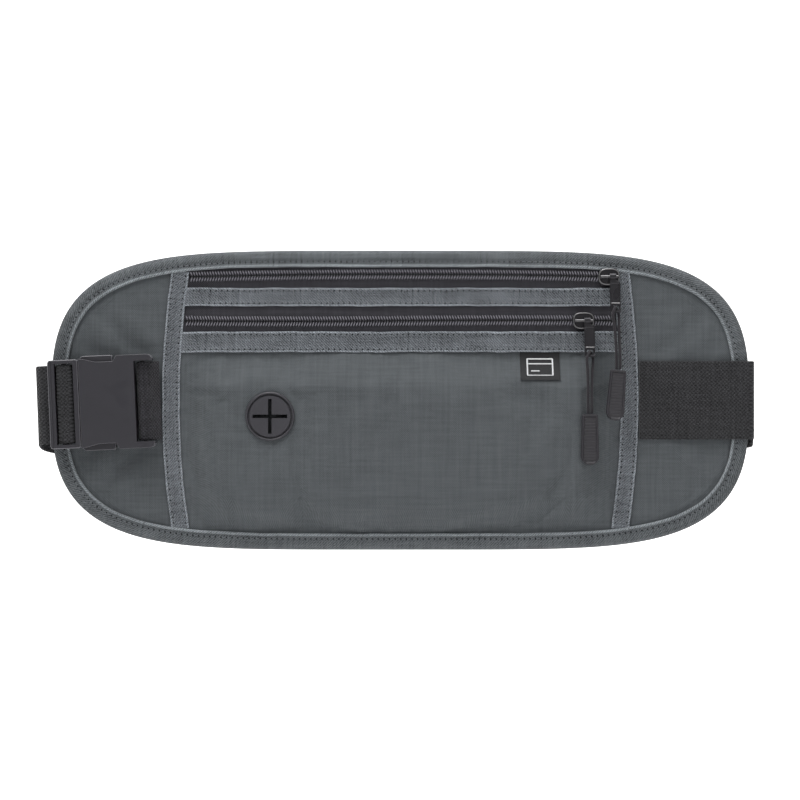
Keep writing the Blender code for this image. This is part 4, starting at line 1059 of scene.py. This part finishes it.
def backShift(x):
    # how far the strap hangs below its ends behind the pouch
    fold = pouch["length"] / 2
    share = min(abs(x) / (fold * strap["droopReach"]), 1.0)
    leftDrop = strap["buckleZ"] - strap["buckleReach"] * math.sin(math.radians(strap["turn"]))
    level = leftDrop * min(max((fold - x) / (2 * fold), 0.0), 1.0)
    return level - strap["droop"] * (1 - share ** strap["droopPower"])


def makeStrap():
    backY, (limit, start, depth) = strap["backY"], strap["rightFold"]
    route = divided(roundedPath(strap["route"]), 3.0)
    section = ribbonSection(strap["width"], strap["thick"])
    rings = []
    for index, point in enumerate(route):
        out = outwardOf(route, index)
        ring = []
        for side, height in section:
            x, y, z = point.x + out.x * height, point.y + out.y * height, side
            if point.x < 0 and point.y < backY:
                share = smooth((backY - point.y) / strap["leftFold"])
                turned = toBuckle(x - strap["buckleX"], y, z)
                x += (turned.x - x) * share
                z = (z + backShift(x)) * (1 - share) + turned.z * share
            elif point.y > limit:
                z += backShift(x) * (smooth((point.y - start) / depth) if point.x > 0 else 1)
            ring.append(v(x, y, z))
        rings.append(ring)
    band = loft("waistStrap", rings, smoothAngle=50)
    band.data.materials.append(finishes["strap"])
    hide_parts("waist_strap", "strap_buckle_end")
    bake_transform(band)


webbing = {
    "width": 35.0, "thick": 1.2,
    "route": [(18.3, -8.9), (13.9, -13.7, 1.5), (9.6, -13.7, 1.2), (9.6, -9.5, 1.2),
              (13.6, -9.5, 1.5), (16.6, -7.3, 1.5), (18.3, -7.3)],
}


def makeWebbing():
    route = divided(roundedPath(webbing["route"]), 2.0)
    section = ribbonSection(webbing["width"], webbing["thick"])
    rings = []
    for index, point in enumerate(route):
        out = outwardOf(route, index)
        rings.append([toBuckle(point.x + out.x * height, point.y + out.y * height, side) * mm
                      for side, height in section])
    band = loft("buckleWebbing", rings, smoothAngle=50)
    dress(band, "webbing", replaced="buckle_webbing")


# grips and hardware

grip = {
    "length": 22.3, "topWidth": 6.9, "bottomWidth": 8.2, "half": 1.5, "floor": 0.95, "border": 0.95,
    "ribPitch": 1.3, "ribHeight": 0.2, "shoulder": 0.8, "shoulderCut": 0.6, "edgeRound": 0.35, "blend": 0.3,
    "steps": 100, "across": 14,
}


def gripHalfWidth(s):
    length, end = grip["length"], grip["bottomWidth"] / 2
    half = (grip["topWidth"] + (grip["bottomWidth"] - grip["topWidth"]) * s / length) / 2
    if s > length - end:
        half *= math.sqrt(max(1 - ((s - length + end) / end) ** 2, 0.0)) * 0.99 + 0.01
    if s < grip["shoulder"]:
        half -= grip["shoulderCut"] * (1 - s / grip["shoulder"]) ** 2
    return half


def gripHeight(s, side, half):
    # half thickness at a place: a raised border round a ribbed floor
    rim = min(half - abs(side), s, (grip["length"] - s) * 0.9 + 0.05)
    crown = grip["half"] * (1 - grip["edgeRound"] * (1 - min(rim / grip["edgeRound"], 1)) ** 2)
    rib = grip["ribHeight"] * max(0.0, math.sin(2 * math.pi * s / grip["ribPitch"])) ** 0.7
    inner = grip["floor"] + rib
    return crown + (inner - crown) * smooth((rim - grip["border"] + grip["blend"] / 2) / grip["blend"])


def makeGrips():
    for side in ("upper", "lower"):
        hole = holeOf(side)
        top = Vector((hole.x + cords[side]["offset"], cords["gripY"], hole.z - cords["drop"]))
        lean = math.radians(cords[side]["lean"])
        down = Vector((-math.sin(lean), 0, -math.cos(lean)))
        across = Vector((math.cos(lean), 0, -math.sin(lean)))
        rings = []
        for step in range(grip["steps"] + 1):
            s = grip["length"] * step / grip["steps"]
            half = gripHalfWidth(s)
            count = grip["across"]
            spots = [(half * math.sin(math.pi / 2 * (i / count)), -1) for i in range(-count, count + 1)]
            spots += [(x, 1) for x, _ in reversed(spots)]
            rings.append([(top + down * s + across * x + Vector((0, face * gripHeight(s, x, half), 0))) * mm
                          for x, face in spots])
        piece = loft(side + "Grip", rings, smoothAngle=45)
        dress(piece, "rubber", side + "_grip", replaced=side + "_pull_grip")


trims = {
    "halfLength": 4.35, "halfHeight": 3.4, "wire": 0.25, "faceY": -8.78, "roundness": 2 / 3,
    "bridgeHalf": 3.9, "bridgeWire": 0.63, "tabHalf": 1.95, "tabTop": 3.2, "tabFoot": 16.1, "tabProud": 0.5,
    "tabWire": 0.22, "barDown": 12.2, "barWire": 0.3, "ridge": (-28.9, 18.9, 0.45, -15.7),
}


def roundedSquare(share):
    return math.copysign(abs(share) ** trims["roundness"], share)


def wireLoop(name, points, radius, closed=True, sides=8):
    # a round wire through points in mm
    rings, count = [], len(points)
    for index, point in enumerate(points):
        ahead = points[(index + 1) % count] if closed else points[min(index + 1, count - 1)]
        behind = points[index - 1] if closed or index else points[0]
        along = (ahead - behind).normalized()
        out = Vector((0, -1, 0))
        out = (out - along * out.dot(along)).normalized()
        side = along.cross(out)
        rings.append([(point + (out * c + side * s) * radius) * mm for c, s in circle(sides)])
    return loft(name, rings, closed=closed, smoothAngle=80)


def makeTrims():
    tilt = math.radians(cords["tilt"])
    half, top, foot = trims["tabHalf"], trims["tabTop"], trims["tabFoot"]
    for side in ("upper", "lower"):
        x, z = cords[side]["slider"]
        points = [Vector((x + trims["halfLength"] * roundedSquare(c), trims["faceY"],
                          z + trims["halfHeight"] * roundedSquare(s))) for c, s in circle(48)]
        # slider rim, bridge and tab bar wires carry a painted highlight
        dress(wireLoop(side + "SliderRim", points, trims["wire"]), "metalHighlight", side + "_zip")
        bridge = [Vector((x + trims["bridgeHalf"] * share, cords["barY"], z)) for share in (-1, -0.5, 0, 0.5, 1)]
        bridge = wireLoop(side + "Bridge", bridge, trims["bridgeWire"], closed=False)
        dress(bridge, "metalHighlight", side + "_zip")
        middle = x + cords["tabMiddle"]

        def onTab(across, down):
            y = cords["barY"] - trims["tabProud"] - down * math.sin(tilt)
            return Vector((middle + across, y, z - down * math.cos(tilt)))

        corners = [(-half, top), (half, top), (half, foot), (-half, foot)]
        line = []
        for (a, b), (c, d) in zip(corners, corners[1:] + corners[:1]):
            line += [onTab(a + (c - a) * step / 8, b + (d - b) * step / 8) for step in range(8)]
        dress(wireLoop(side + "TabRim", line, trims["tabWire"]), "metal", side + "_tab")
        line = [onTab(across, trims["barDown"]) for across in (-half, 0, half)]
        bar = wireLoop(side + "TabBar", line, trims["barWire"], closed=False)
        dress(bar, "metalHighlight", side + "_tab")
    u, reach, radius, y = trims["ridge"]
    points = [toBuckle(u, y, w) for w in (-reach, -reach / 2, 0, reach / 2, reach)]
    dress(wireLoop("plugRidge", points, radius, closed=False), "plastic", "plug")


def paintBevelHighlights(node, finish, turn, steepness=0.97, largest=9.0):
    # small bevelled faces, in square mm, are painted lighter than the flats beside them, a painted highlight
    node.data.materials.append(finishes[finish])
    axes = [Matrix.Rotation(turn, 3, "Y") @ Vector(axis) for axis in ((1, 0, 0), (0, 1, 0), (0, 0, 1))]
    for face in node.data.polygons:
        if max(abs(face.normal.dot(axis)) for axis in axes) < steepness and face.area < largest * mm * mm:
            face.material_index = 1


def coverNodes():
    # CAD pieces that keep their own shape take the finish of their kind
    kinds = {
        "metal": ("upper_slider", "upper_pull_tab", "lower_slider", "lower_pull_tab"),
        "plastic": ("buckle_socket", "buckle_plug", "buckle_upper_arm", "buckle_lower_arm"),
        "grommet": ("grommet_diaphragm", "grommet_back_washer"),
    }
    for finish, names in kinds.items():
        for name in names:
            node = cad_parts[name]
            node.data.materials.clear()
            node.data.materials.append(finishes[finish])
            if finish == "plastic":
                paintBevelHighlights(node, "plasticHighlight", -math.radians(strap["turn"]))


makeGrommet()
makeLabel()
makeStrap()
makeWebbing()
makeGrips()
makeTrims()
coverNodes()
print("stage: hardware made")
